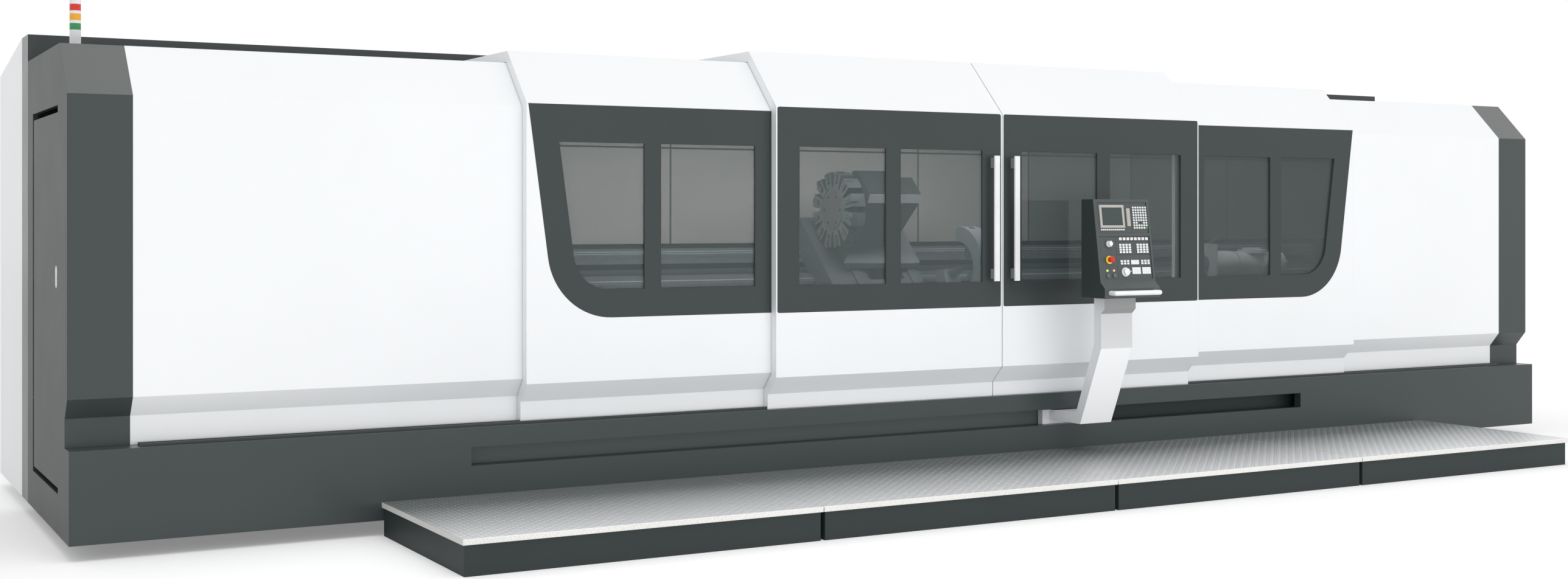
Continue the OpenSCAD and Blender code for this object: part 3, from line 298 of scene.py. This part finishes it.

# The control arm stands between these places of the slot and hides where its liner changes from
# painted light to painted shade
ARM_LEFT_X, ARM_RIGHT_X = 5850, 6050

MATERIALS = {
    "white_sheet": paint("white_sheet", linear(241, 243, 245), 0.38, 0.008, coat=0.1),
    "dark_sheet": paint("dark_sheet", linear(58, 65, 65), 0.4, 0.02, coat=0.3, specular=0.35),
    "window_frame": paint("window_frame", linear(57, 63, 63), 0.36, 0.02, specular=0.35),
    "window_pane": pane("window_pane", linear(76, 85, 85), 0.55),
    "grey_sheet": paint("grey_sheet", linear(188, 186, 181), 0.5, 0.03),
    "arm_sheet": paint("arm_sheet", linear(236, 238, 241), 0.36, 0.01, coat=0.1),
    "white_plastic": plastic("white_plastic", linear(240, 241, 243), 0.32),
    "cast_grey": casting("cast_grey", linear(104, 111, 114)),
    "dark_cast": casting("dark_cast", linear(74, 81, 82)),
    "ground_steel": metal("ground_steel", linear(138, 144, 148), 0.45, (0.5, 16, 16), 24.0, 0.05,
                          metallic=0.7),
    "chuck_steel": metal("chuck_steel", linear(150, 153, 156), 0.38, metallic=0.85),
    # Tread plate in painted shade near the apron and painted light toward the front edge
    "tread_plate": tread_metal_painted_shade("tread_plate", linear(138, 141, 142), linear(234, 235, 237),
                                TREAD_BACK_Y, TREAD_FRONT_Y),
    "foot_iron": casting("foot_iron", linear(84, 88, 90)),
    "pendant_shell": paint("pendant_shell", linear(74, 80, 80), 0.45, 0.02, grain=1200.0,
                           depth=0.2),
    "screen": plastic("screen", linear(182, 178, 172), 0.45),
    "keys": plastic("keys", linear(236, 238, 238), 0.45),
    "stop_red": plastic("stop_red", linear(214, 34, 30), 0.3),
    "button_dark": plastic("button_dark", linear(98, 104, 104), 0.4),
}
# Painted sheen: the end walls' dark sheet in a lighter grey, for the light they catch
END_SHEEN_PAINT = paint("end_painted_sheen", linear(76, 81, 80), 0.5, 0.012, 0.012, specular=0.25)
DISC_STEEL = metal("disc_steel", linear(148, 153, 155), 0.55, (30, 30, 30), 14.0, 0.1,
                   metallic=0.3)
HUB_STEEL = metal("hub_steel", linear(132, 131, 129), 0.6, (8, 8, 8), 20.0, 0.05, metallic=0.2)
TOOL_STEEL = metal("tool_steel", linear(118, 124, 127), 0.5, (20, 20, 20), 22.0, 0.14,
                   metallic=0.5)
SCREW_STEEL = metal("screw_steel", linear(96, 102, 105), 0.55, (60, 1, 1), 30.0, metallic=0.5)
PLATE_STEEL = metal("plate_steel", linear(158, 165, 170), 0.48, (4, 30, 30), 30.0, 0.06,
                    metallic=0.4)
TAIL_PAINT = casting("tail_paint", linear(218, 222, 224), 0.5, 0.4)
STEADY_PAINT = casting("steady_paint", linear(136, 143, 148), 0.5, 0.4)
# Painted shade: darker paint for the top of the turret housing
HOUSING_TOP_SHADE = casting("housing_top_painted_shade", linear(50, 56, 57), 0.6, 0.25)
# Painted shade: back wall panels darker toward the right, where the inner light falls off
WALL_MID_SHADE = paint("wall_mid_painted_shade", linear(146, 150, 149), 0.5, 0.03)
WALL_END_SHADE = paint("wall_end_painted_shade", linear(112, 117, 116), 0.5, 0.03)
# Painted light: lighter paint for the slopes of the end caps
CAP_SLOPE_LIGHT = paint("cap_slope_painted_light", linear(94, 98, 97), 0.4, 0.02, coat=0.3, specular=0.35)
# Control arm: painted shade on the neck, painted light on the sloping face, painted shade on the
# upright face
ARM_NECK_SHADE = paint("arm_neck_painted_shade", linear(158, 160, 160), 0.5, 0.02)
ARM_UPRIGHT_SHADE = paint("arm_upright_painted_shade", linear(214, 216, 218), 0.42, 0.02, coat=0.1)
ARM_SLOPE_LIGHT = paint("arm_slope_painted_light", linear(252, 253, 254), 0.36, 0.006, coat=0.1)
# Painted highlight along the edges and flats of the saddle ways
WAY_HIGHLIGHT = metal("way_painted_highlight", linear(226, 230, 233), 0.45, (1, 60, 60), 40.0, 0.05, metallic=0.2)
BAND_PAINT = casting("band_paint", linear(206, 211, 214), 0.5, 0.4)
# Painted shade: the darkest sheet, on the pendant's sides and the platform's boxes
PAINTED_SHADE_SHEET = paint("painted_shade_sheet", linear(50, 57, 57), 0.5, 0.02, specular=0.25)
JOINT_SHADE = paint("joint_shade", linear(74, 78, 78), 0.6, 0.03, specular=0.2)
HATCH_PAINT = paint("hatch_paint", linear(142, 147, 146), 0.5, 0.03)
# Slot liner: painted light to the left of the arm, painted shade to the right
SLOT_LINER_LIGHT_AND_SHADE = light_and_shade_liner("slot_liner_painted_light_and_shade", linear(84, 93, 92), linear(30, 46, 43),
                         machine(ARM_LEFT_X, 0, 0).x, machine(ARM_RIGHT_X, 0, 0).x)
TREAD_EDGE = paint("tread_edge", linear(224, 223, 220), 0.45, 0.03, edge=0.002)
# Painted highlight: near-white ribs on the tread plate's folded edge
TREAD_RIB_HIGHLIGHT = paint("tread_rib_painted_highlight", linear(246, 246, 244), 0.4, 0.01, edge=0.001)
# Grey for painted shade on the handle posts, and for the rear cabinet's screws
POST_SHADE_AND_SCREW_GREY = paint("post_shade_and_screw_grey", linear(148, 153, 155), 0.4, 0.02)
SCREEN_GLASS = plastic("screen_glass", linear(56, 66, 66), 0.18, 1400.0, 0.03)
RUBBER = plastic("rubber_seal", linear(30, 33, 33), 0.7, 500.0, 0.2, 0.3)
BLACK_OXIDE = metal("black_oxide", linear(58, 61, 63), 0.42, (20, 20, 20), 90.0, metallic=0.8)
SLOTS = {entry["node"]: entry["material_slot"] for entry in frame["record"]["subparts"]}
OWN_MATERIAL = {
    "control_arm": MATERIALS["arm_sheet"],
    "feed_screw": SCREW_STEEL,
    "turret_disc": DISC_STEEL,
    "cross_slide": PLATE_STEEL,
    "tailstock": TAIL_PAINT,
    "steady_rest": STEADY_PAINT,
    # Platform boxes in painted shade
    "platform_boxes": PAINTED_SHADE_SHEET,
}

for node_name, node_object in NODES.items():
    node_object.data.materials.clear()
    chosen = OWN_MATERIAL.get(node_name, MATERIALS.get(SLOTS[node_name]))
    if chosen:
        node_object.data.materials.append(chosen)


# Faces of a node that have a finish of their own

def dress(node, material, measure, test):
    """Gives the material to the faces of a node that pass the test of place and normal."""
    mesh = NODES[node].data
    mesh.materials.append(material)
    index = len(mesh.materials) - 1
    for face in mesh.polygons:
        if test(*measure(face.center), face.normal):
            face.material_index = index


def dress_lenses():
    """Signal light: three lenses, told apart by their height."""
    lenses = NODES["signal_lenses"]
    low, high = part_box("signal_lenses")
    for name, colour in (("lens_green", (48, 150, 84)), ("lens_amber", (248, 176, 40)),
                         ("lens_red", (222, 46, 36))):
        lenses.data.materials.append(plastic(name, linear(*colour), 0.25, 200.0, 0.2))
    for face in lenses.data.polygons:
        height = (face.center.z - low.z) / (high.z - low.z)
        face.material_index = min(2, int(height * 3))


dress_lenses()

# End walls of the machine, painted a lighter grey than its front as a painted sheen of the light
BASE_INSIDE = (10, 10300)
for node_name in ("left_end_cap", "right_end_cap", "side_door"):
    dress(node_name, END_SHEEN_PAINT, machine_mm, lambda x, y, z, normal: abs(normal.x) > 0.9)
dress("base_casing", END_SHEEN_PAINT, machine_mm,
      lambda x, y, z, normal: abs(normal.x) > 0.9 and not BASE_INSIDE[0] < x < BASE_INSIDE[1])

# Slopes of the end caps, painted lighter as painted light from above
for node_name in ("left_end_cap", "right_end_cap"):
    dress(node_name, CAP_SLOPE_LIGHT, machine_mm,
          lambda x, y, z, normal: normal.y < -0.3 and normal.z > 0.3)

# Control arm: neck under the pendant painted grey as painted shade, face of the sloping part
# painted brighter as painted light, upright face painted greyer as painted shade
NECK_LENGTH = 96
NECK_FOOT_Z = machine_mm(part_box("pendant_housing")[0])[2] - NECK_LENGTH
SLOPE_TOP_Z = NECK_FOOT_Z - 100
UPRIGHT_FOOT_Z = 830
dress("control_arm", ARM_NECK_SHADE, machine_mm,
      lambda x, y, z, normal: z > NECK_FOOT_Z and abs(normal.x) < 0.5)
dress("control_arm", ARM_SLOPE_LIGHT, machine_mm,
      lambda x, y, z, normal: normal.y < -0.3 and normal.z < -0.15 and z < SLOPE_TOP_Z)
dress("control_arm", ARM_UPRIGHT_SHADE, machine_mm,
      lambda x, y, z, normal: normal.y < -0.9 and UPRIGHT_FOOT_Z < z < NECK_FOOT_Z)

# Liner of the slot in the apron: painted light to the left of the arm, painted shade to the right
LINER_Y = (60, 130)
LINER_FOOT_Z = 160
dress("base_casing", SLOT_LINER_LIGHT_AND_SHADE, machine_mm,
      lambda x, y, z, normal: LINER_Y[0] < y < LINER_Y[1] and normal.y < -0.9
      and z > LINER_FOOT_Z)

# Inner back wall: shaded joints, panels painted darker to the right as painted shade where the
# light falls off, and the hatch, which stands proud
HATCH_PROUD = 6
JOINT_DEPTH = 8
JOINTS_Z = (1480, 2440)
DARKER_X, DARKEST_X = 6790, 7755
HATCH_LEFT_X = 6700
WALL_Y = machine_mm(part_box("back_wall")[0])[1] + HATCH_PROUD
dress("back_wall", JOINT_SHADE, machine_mm,
      lambda x, y, z, normal: WALL_Y + 1 < y < WALL_Y + JOINT_DEPTH
      and JOINTS_Z[0] < z < JOINTS_Z[1])
dress("back_wall", WALL_MID_SHADE, machine_mm,
      lambda x, y, z, normal: y < WALL_Y + 1 and DARKER_X < x <= DARKEST_X)
dress("back_wall", WALL_END_SHADE, machine_mm,
      lambda x, y, z, normal: y < WALL_Y + 1 and x > DARKEST_X)
dress("back_wall", HATCH_PAINT, machine_mm,
      lambda x, y, z, normal: y < WALL_Y - 1 and x > HATCH_LEFT_X and normal.y < -0.5)

# Edges of the upper and lower saddle ways, which stand WAY_TOP off the bed, painted as highlights
WAY_TOP = 30.0
SADDLE_WAYS_S = 200
dress("bed", WAY_HIGHLIGHT, slant_mm,
      lambda x, s, n, normal: 2 < n < WAY_TOP - 2 and s > SADDLE_WAYS_S
      and normal.dot(UP_SLOPE) < -0.9)

# Turret: top of the housing painted darker as painted shade, light band along the housing, plain
# hub, rim with the tools, dark sides of the notches
TURRET_S = 535.0
HUB_RADIUS = 122
NOTCH_RADIUS = 140
TOOL_RADIUS = 180


def off_turret(point):
    x, s, n = slant_mm(point)
    return x, s - TURRET_S, n - SWING


def notch_side(x, s, n, normal):
    reach = math.hypot(s, n)
    radial = (normal.dot(UP_SLOPE) * s + normal.dot(OFF_SLOPE) * n) / max(reach, 1.0)
    return reach > NOTCH_RADIUS and abs(normal.x) < 0.5 and abs(radial) < 0.6


dress("turret_housing", HOUSING_TOP_SHADE, slant_mm,
      lambda x, s, n, normal: normal.y < -0.5 and normal.z > 0.5)
dress("turret_housing", MATERIALS["cast_grey"], slant_mm,
      lambda x, s, n, normal: normal.y < -0.5 and normal.z < -0.5)
dress("turret_housing", BAND_PAINT, slant_mm, lambda x, s, n, normal: normal.y < -0.85)
dress("turret_disc", HUB_STEEL, off_turret,
      lambda x, s, n, normal: normal.x < -0.9 and math.hypot(s, n) < HUB_RADIUS)
dress("turret_disc", TOOL_STEEL, off_turret,
      lambda x, s, n, normal: abs(normal.x) < 0.5 and math.hypot(s, n) > TOOL_RADIUS)
dress("turret_disc", MATERIALS["dark_cast"], off_turret, notch_side)

# Pendant sides, in the darkest sheet of the machine as painted shade
dress("pendant_housing", PAINTED_SHADE_SHEET, face_mm, lambda u, v, lift, normal: abs(normal.x) > 0.9)

# Tread plate: the folded edge round its top
dress("platform_treads", TREAD_EDGE, machine_mm, lambda x, y, z, normal: abs(normal.z) < 0.5)

# Posts behind the bars of the handles, painted grey as painted shade
BAR_THICKNESS = 12
for node_name in ("handle_left", "handle_right"):
    bar_back = machine_mm(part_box(node_name)[0])[1] + BAR_THICKNESS
    dress(node_name, POST_SHADE_AND_SCREW_GREY, machine_mm,
          lambda x, y, z, normal: y > bar_back + 2)

# Pendant: dark screen in its frame, dark plate under the keys, one dark gap and one green key,
# ring of the stop, disc of the feed knob, lamps. Boxes are U from, U to, V from, V to.
SCREEN_BOX = (56, 214, 51, 161)
KEY_GAP_BOX = (340, 372, 140, 150)
GREEN_KEY_BOX = (397, 500, 170, 184)
PLATE_TOP = FACE_RECESS + 1.6
PLATES_FOOT_V = 470
STOP_AT, STOP_RING = (87, 372), 27
KNOB_AT, KNOB_DISC = (92, 275), 31
LAMPS_AT, LAMP_RADIUS = ((62, 438), (113, 438)), 8


def in_box(box, u, v):
    return box[0] < u < box[1] and box[2] < v < box[3]


def near(spot, radius, u, v):
    return math.hypot(u - spot[0], v - spot[1]) < radius


dress("pendant_screen", SCREEN_GLASS, face_mm,
      lambda u, v, lift, normal: in_box(SCREEN_BOX, u, v))
dress("pendant_controls", MATERIALS["pendant_shell"], face_mm,
      lambda u, v, lift, normal: lift < PLATE_TOP and v < PLATES_FOOT_V)
dress("pendant_controls", MATERIALS["pendant_shell"], face_mm,
      lambda u, v, lift, normal: in_box(KEY_GAP_BOX, u, v))
dress("pendant_controls", plastic("key_green", linear(70, 168, 62), 0.45), face_mm,
      lambda u, v, lift, normal: in_box(GREEN_KEY_BOX, u, v) and lift > PLATE_TOP)
dress("pendant_controls", plastic("stop_yellow", linear(246, 222, 46), 0.4), face_mm,
      lambda u, v, lift, normal: near(STOP_AT, STOP_RING, u, v))
dress("pendant_controls", MATERIALS["pendant_shell"], face_mm,
      lambda u, v, lift, normal: near(KNOB_AT, KNOB_DISC, u, v))
for name, colour, spot in (("lamp_green", (206, 236, 150), LAMPS_AT[0]),
                           ("lamp_orange", (250, 190, 150), LAMPS_AT[1])):
    dress("pendant_controls", glowing(name, linear(*colour), 0.25), face_mm,
          lambda u, v, lift, normal: near(spot, LAMP_RADIUS, u, v))


# Pieces made here, each sunk a little into the face it stands on
SUNK = 0.2
SCREW_SIDES = 12


class Build:
    """Collects vertices and faces of one piece."""

    def __init__(self):
        self.verts, self.faces = [], []

    def finish(self, name, material, body, slot):
        mesh = bpy.data.meshes.new(name)
        mesh.from_pydata([tuple(v) for v in self.verts], [], self.faces)
        mesh.validate()
        piece = bpy.data.objects.new(name, mesh)
        bpy.context.scene.collection.objects.link(piece)
        mesh.materials.append(material)
        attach(piece, body)

    def rib(self, place, start, end, width, height):
        """A low bar with sloped sides between two points of a face, in the face's own frame."""
        along = Vector((end[0] - start[0], end[1] - start[1]))
        side = Vector((-along.y, along.x)).normalized() * (width / 2)
        top = side * 0.6
        first = len(self.verts)
        for point in (start, end):
            for offset, lift in ((-side, -SUNK), (-top, height), (top, height), (side, -SUNK)):
                self.verts.append(place(point[0] + offset.x, point[1] + offset.y,
                                        point[2] + lift))
        a, b = first, first + 4
        self.faces += [(a, a + 1, b + 1, b), (a + 1, a + 2, b + 2, b + 1),
                       (a + 2, a + 3, b + 3, b + 2), (a, a + 3, a + 2, a + 1),
                       (b, b + 1, b + 2, b + 3)]

    def lozenge(self, centre, along, across, up, length, width, height):
        """A low roof over a diamond, sizes in millimetres."""
        start = len(self.verts)
        half, side, sunk = length / 2 * MM, width / 2 * MM, -SUNK * MM
        for a, b, c in ((-half, 0, sunk), (0, -side, sunk), (half, 0, sunk), (0, side, sunk),
                        (-half * 0.55, 0, height * MM), (half * 0.55, 0, height * MM)):
            self.verts.append(centre + along * a + across * b + up * c)
        self.faces += [(start, start + 1, start + 4), (start + 1, start + 2, start + 5),
                       (start + 1, start + 5, start + 4), (start + 2, start + 3, start + 5),
                       (start + 3, start, start + 4), (start + 3, start + 4, start + 5)]

    def ring(self, centre, along, across, radius, hexagon):
        first = len(self.verts)
        for i in range(SCREW_SIDES):
            turn = 2 * math.pi * i / SCREW_SIDES
            reach = radius * (math.cos(math.pi / 6) if hexagon and i % 2 else 1)
            self.verts.append(centre + along * (reach * math.cos(turn))
                              + across * (reach * math.sin(turn)))
        return first

    def screw(self, foot, axis, radius, height):
        """Socket head screw: a drum with a chamfered rim and a six-sided socket, in mm."""
        axis = axis.normalized()
        along = axis.orthogonal().normalized()
        across = axis.cross(along)
        levels = ((-0.3, 1.0, False), (height * 0.85, 1.0, False), (height, 0.86, False),
                  (height, 0.52, True), (height * 0.45, 0.5, True))
        rings = [self.ring(foot + axis * (lift * MM), along, across, radius * share * MM, hexagon)
                 for lift, share, hexagon in levels]
        for low, high in zip(rings, rings[1:]):
            for i in range(SCREW_SIDES):
                j = (i + 1) % SCREW_SIDES
                self.faces.append((low + i, low + j, high + j, high + i))
        self.faces.append(tuple(rings[-1] + i for i in range(SCREW_SIDES)))


# Raised lozenges of the tread plate, on its top and, as painted highlights in near white, as
# ribs on its folded front edge. Each rib is X and depth under the top at its start, then at its
# end; the group of ribs repeats.
LOZENGE_PITCH = 30.0
LOZENGE_SIZE = (25.0, 8.0, 1.3)
RIB_GROUP = 132.0
RIB_WIDTH = 3.4
RIM_WIDTH = 3.6
RIM_DOWN = 2.2
EDGE_RIB_HEIGHT = 0.3
EDGE_RIBS = ((4, 2, 20, 25), (22, 2, 38, 25), (40, 2, 48, 18), (74, 3, 92, 25), (62, 22, 84, 3),
             (96, 2, 108, 25), (112, 20, 130, 3))


def tread_pattern():
    low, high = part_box("platform_treads")
    build = Build()
    pitch = LOZENGE_PITCH * MM
    columns = int((high.x - low.x) / pitch)
    rows = int((high.y - low.y) / pitch)
    right, back, up = Vector((1, 0, 0)), Vector((0, 1, 0)), Vector((0, 0, 1))
    for i in range(columns):
        for j in range(rows):
            turn = math.radians(45 if (i + j) % 2 else -45)
            along = right * math.cos(turn) + back * math.sin(turn)
            centre = Vector((low.x + (i + 0.5) * pitch, low.y + (j + 0.5) * pitch, high.z))
            build.lozenge(centre, along, up.cross(along), up, *LOZENGE_SIZE)
    build.finish("tread_pattern", MATERIALS["tread_plate"], "machine", "tread_plate")


def tread_edge_ribs():
    low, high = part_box("platform_treads")
    x0, front, _ = machine_mm(low)
    x1, _, top = machine_mm(high)
    build = Build()

    def place(x, down, out):
        return machine(x, front - out, top - down)

    groups = int((x1 - x0 - 10) / RIB_GROUP)
    for i in range(groups):
        start = x0 + 6 + i * RIB_GROUP
        for a, down_a, b, down_b in EDGE_RIBS:
            build.rib(place, (start + a, down_a, 0), (start + b, down_b, 0),
                      RIB_WIDTH, EDGE_RIB_HEIGHT)
    build.rib(place, (x0 + 1, RIM_DOWN, 0), (x1 - 1, RIM_DOWN, 0), RIM_WIDTH, EDGE_RIB_HEIGHT)
    build.finish("tread_edge_ribs", TREAD_RIB_HIGHLIGHT, "machine", "tread_plate")


tread_pattern()
tread_edge_ribs()


# Pendant: joints of the plates, scale round the feed knob, dividing lines of the large pads and
# crosses on the row of soft keys. Joints are the U, V of both ends; pads are U from, U to,
# V from, V to and the number of columns.
PLATE_JOINTS = (((286, 20), (286, 208)), ((147, 229), (147, 492)), ((147, 262), (414, 262)),
                ((147, 342), (414, 342)), ((286, 262), (286, 342)))
JOINT_RIB = (1.6, 0.25)
SCALE_RIB = (1.1, 0.25)
SCALE_MARKS, SCALE_STEP, SCALE_FROM = 13, 20, -120
SCALE_RADII = (22.0, 27.0)
DISC_TOP = FACE_RECESS + 2
PADS = ((258, 324, 420.5, 461.5, 3), (337, 403, 420.5, 461.5, 4), (254, 316, 375, 402, 2))
PAD_ROWS = 3
PAD_RIB = (0.7, 0.15)
PAD_TOP = FACE_RECESS + 3.5
SOFT_KEYS, SOFT_KEY_U, SOFT_KEY_V, SOFT_KEY_PITCH = 8, 186, 244, 29.6
CROSS_RIB = (0.6, 0.15)
CROSS_U, CROSS_V = 9, 7.5


def pendant_lines():
    joints = Build()
    for start, end in PLATE_JOINTS:
        joints.rib(on_face, (*start, FACE_RECESS), (*end, FACE_RECESS), *JOINT_RIB)
    joints.finish("pendant_joints", RUBBER, "pendant", "pendant_shell")
    marks = Build()
    for i in range(SCALE_MARKS):
        turn = math.radians(SCALE_FROM + SCALE_STEP * i)
        points = [(KNOB_AT[0] + r * math.sin(turn), KNOB_AT[1] - r * math.cos(turn))
                  for r in SCALE_RADII]
        marks.rib(on_face, (*points[0], DISC_TOP), (*points[1], DISC_TOP), *SCALE_RIB)
    marks.finish("feed_scale", MATERIALS["screen"], "pendant", "screen")
    pads = Build()
    for left, right, high, low, columns in PADS:
        for i in range(1, columns):
            across = left + (right - left) * i / columns
            pads.rib(on_face, (across, high + 1, PAD_TOP), (across, low - 1, PAD_TOP), *PAD_RIB)
        for i in range(1, PAD_ROWS):
            down = high + (low - high) * i / PAD_ROWS
            pads.rib(on_face, (left + 1, down, PAD_TOP), (right - 1, down, PAD_TOP), *PAD_RIB)
    for i in range(SOFT_KEYS):
        across = SOFT_KEY_U + i * SOFT_KEY_PITCH
        pads.rib(on_face, (across, SOFT_KEY_V - CROSS_V, PAD_TOP),
                 (across, SOFT_KEY_V + CROSS_V, PAD_TOP), *CROSS_RIB)
        pads.rib(on_face, (across - CROSS_U, SOFT_KEY_V, PAD_TOP),
                 (across + CROSS_U, SOFT_KEY_V, PAD_TOP), *CROSS_RIB)
    pads.finish("pad_lines", MATERIALS["screen"], "pendant", "keys")


pendant_lines()


# Painted highlight lines on the flats of the saddle ways: S up the slope and width of each
WAY_HIGHLIGHT_LINES = ((574, 6), (556, 4), (318, 7))
WAY_LINE_HEIGHT = 0.15


def way_highlight_lines():
    build = Build()
    x0, x1 = (machine_mm(corner)[0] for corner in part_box("bed"))
    for s, width in WAY_HIGHLIGHT_LINES:
        build.rib(slant, (x0 + 1, s, WAY_TOP), (x1 - 1, s, WAY_TOP), width, WAY_LINE_HEIGHT)
    build.finish("way_highlight_lines", WAY_HIGHLIGHT, "machine", "ground_steel")


way_highlight_lines()


# Socket screws of the turret: two on each tool block, six round the hub
DISC_FACE_X = machine_mm(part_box("turret_disc")[0])[0]
HUB_STEP = 8
STATIONS = 12
BLOCK_SCREWS_AT, BLOCK_SCREW = (212, 234), (4.5, 3)
HUB_SCREWS, HUB_SCREWS_AT, HUB_SCREW = 6, 96, (7, 5)
OUT_OF_DISC = Vector((-1, 0, 0))


def on_disc(depth, radius, degrees):
    """A point of the turret's face, by its depth, distance from the axis and angle."""
    turn = math.radians(degrees)
    return slant(DISC_FACE_X + depth, TURRET_S + radius * math.cos(turn),
                 SWING + radius * math.sin(turn))


def turret_screws():
    build = Build()
    for i in range(STATIONS):
        for radius in BLOCK_SCREWS_AT:
            build.screw(on_disc(0, radius, i * 30), OUT_OF_DISC, *BLOCK_SCREW)
    for i in range(HUB_SCREWS):
        build.screw(on_disc(HUB_STEP, HUB_SCREWS_AT, 15 + i * 60), OUT_OF_DISC, *HUB_SCREW)
    build.finish("turret_screws", BLACK_OXIDE, "turret", "ground_steel")


turret_screws()


# Rear cabinet: joints of its wall panels, with flush screws beside them
REAR_JOINTS = (2350.0, 4750.0, 7150.0, 8700.0)
REAR_WALL_TOP = 2500.0
REAR_JOINT = (4, 0.2)
REAR_JOINT_ENDS = 6
REAR_SCREW = (7, 0.3)
REAR_SCREW_ROWS = 7
REAR_SCREW_SIDE, REAR_SCREW_ENDS = 30, 60


def rear_trim():
    low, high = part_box("rear_cabinet")
    x0, _, foot = machine_mm(low)
    x1, rear, _ = machine_mm(high)

    def place(x, z, out):
        return machine(x, rear + out, z)

    joints, heads = Build(), Build()
    for x in REAR_JOINTS:
        joints.rib(place, (x, foot + REAR_JOINT_ENDS, 0), (x, REAR_WALL_TOP - REAR_JOINT_ENDS, 0),
                   *REAR_JOINT)
    joints.finish("rear_panel_joints", JOINT_SHADE, "machine", "white_sheet")
    columns = [x0 + REAR_SCREW_SIDE, x1 - REAR_SCREW_SIDE]
    columns += [x + side for x in REAR_JOINTS for side in (-REAR_SCREW_SIDE, REAR_SCREW_SIDE)]
    rise = (REAR_WALL_TOP - foot - 2 * REAR_SCREW_ENDS) / (REAR_SCREW_ROWS - 1)
    for x in columns:
        for step in range(REAR_SCREW_ROWS):
            z = foot + REAR_SCREW_ENDS + step * rise
            heads.screw(place(x, z, 0), Vector((0, 1, 0)), *REAR_SCREW)
    heads.finish("rear_panel_screws", POST_SHADE_AND_SCREW_GREY, "machine", "white_sheet")


rear_trim()


# Floor, backdrop and light
FLOOR_REACH = 60.0
FLOOR_GLOW = 0.22
WORLD_LIGHT = 0.7


def stage():
    """Pale floor, lifted a little toward white where the camera sees it."""
    shader = Shader("studio_floor")
    shader.set(Base_Color=(0.92, 0.92, 0.92, 1), Roughness=0.9, Specular_IOR_Level=0.1)
    glow = shader.node("ShaderNodeEmission")
    glow.inputs["Color"].default_value = (1, 1, 1, 1)
    rays = shader.node("ShaderNodeLightPath")
    share = shader.node("ShaderNodeMath", operation="MULTIPLY")
    share.inputs[1].default_value = FLOOR_GLOW
    shader.link(rays.outputs["Is Camera Ray"], share.inputs[0])
    shader.link(share.outputs[0], glow.inputs["Strength"])
    total = shader.node("ShaderNodeAddShader")
    shader.link(shader.bsdf.outputs[0], total.inputs[0])
    shader.link(glow.outputs[0], total.inputs[1])
    shader.link(total.outputs[0], shader.tree.nodes["Material Output"].inputs["Surface"])
    reach = FLOOR_REACH
    mesh = bpy.data.meshes.new("floor")
    mesh.from_pydata([(-reach, -reach, 0), (reach, -reach, 0), (reach, reach, 0),
                      (-reach, reach, 0)], [], [(0, 1, 2, 3)])
    mesh.materials.append(shader.material)
    floor = bpy.data.objects.new("floor", mesh)
    bpy.context.scene.collection.objects.link(floor)


def world():
    """White backdrop for camera, gloss and glass, and softer light for everything else."""
    made = bpy.data.worlds.new("studio")
    bpy.context.scene.world = made
    made.use_nodes = True
    tree = made.node_tree
    background = tree.nodes["Background"]
    background.inputs["Color"].default_value = (1, 1, 1, 1)
    rays = tree.nodes.new("ShaderNodeLightPath")
    seen = rays.outputs["Is Camera Ray"]
    for kind in ("Is Glossy Ray", "Is Transmission Ray"):
        either = tree.nodes.new("ShaderNodeMath")
        either.operation = "MAXIMUM"
        tree.links.new(seen, either.inputs[0])
        tree.links.new(rays.outputs[kind], either.inputs[1])
        seen = either.outputs[0]
    level = tree.nodes.new("ShaderNodeMapRange")
    level.inputs["To Min"].default_value = WORLD_LIGHT
    level.inputs["To Max"].default_value = 1.0
    tree.links.new(seen, level.inputs["Value"])
    tree.links.new(level.outputs["Result"], background.inputs["Strength"])


def sun(name, direction, strength, spread):
    """A far lamp that shines along the direction, as wide as spread degrees."""
    data = bpy.data.lights.new(name, "SUN")
    data.energy = strength
    data.angle = math.radians(spread)
    lamp = bpy.data.objects.new(name, data)
    bpy.context.scene.collection.objects.link(lamp)
    lamp.rotation_euler = Vector(direction).to_track_quat("-Z", "Y").to_euler()


def strip_light(name, x0, x1, y, z, aim, watts, height=0.12):
    """A long soft lamp along the machine, which isn't seen itself. Its height is in metres."""
    data = bpy.data.lights.new(name, "AREA")
    data.shape = "RECTANGLE"
    data.size = (x1 - x0) * MM
    data.size_y = height
    data.energy = watts
    lamp = bpy.data.objects.new(name, data)
    bpy.context.scene.collection.objects.link(lamp)
    lamp.location = machine((x0 + x1) / 2, y, z)
    lamp.rotation_euler = Vector(aim).to_track_quat("-Z", "Y").to_euler()
    lamp.visible_camera = False
    lamp.visible_glossy = False


stage()
world()
sun("key", direction=(0.0, 0.38, -0.92), strength=0.63, spread=35)
strip_light("front_fill", x0=-2800, x1=14200, y=-9000, z=700, aim=(0, 1, 0), watts=320,
            height=1.2)
strip_light("inner_lamp", x0=2300, x1=6200, y=420, z=2300, aim=(0, 0.26, -0.965), watts=70)
strip_light("tail_lamp", x0=7300, x1=8500, y=330, z=2290, aim=(0, 0.35, -0.94), watts=10)
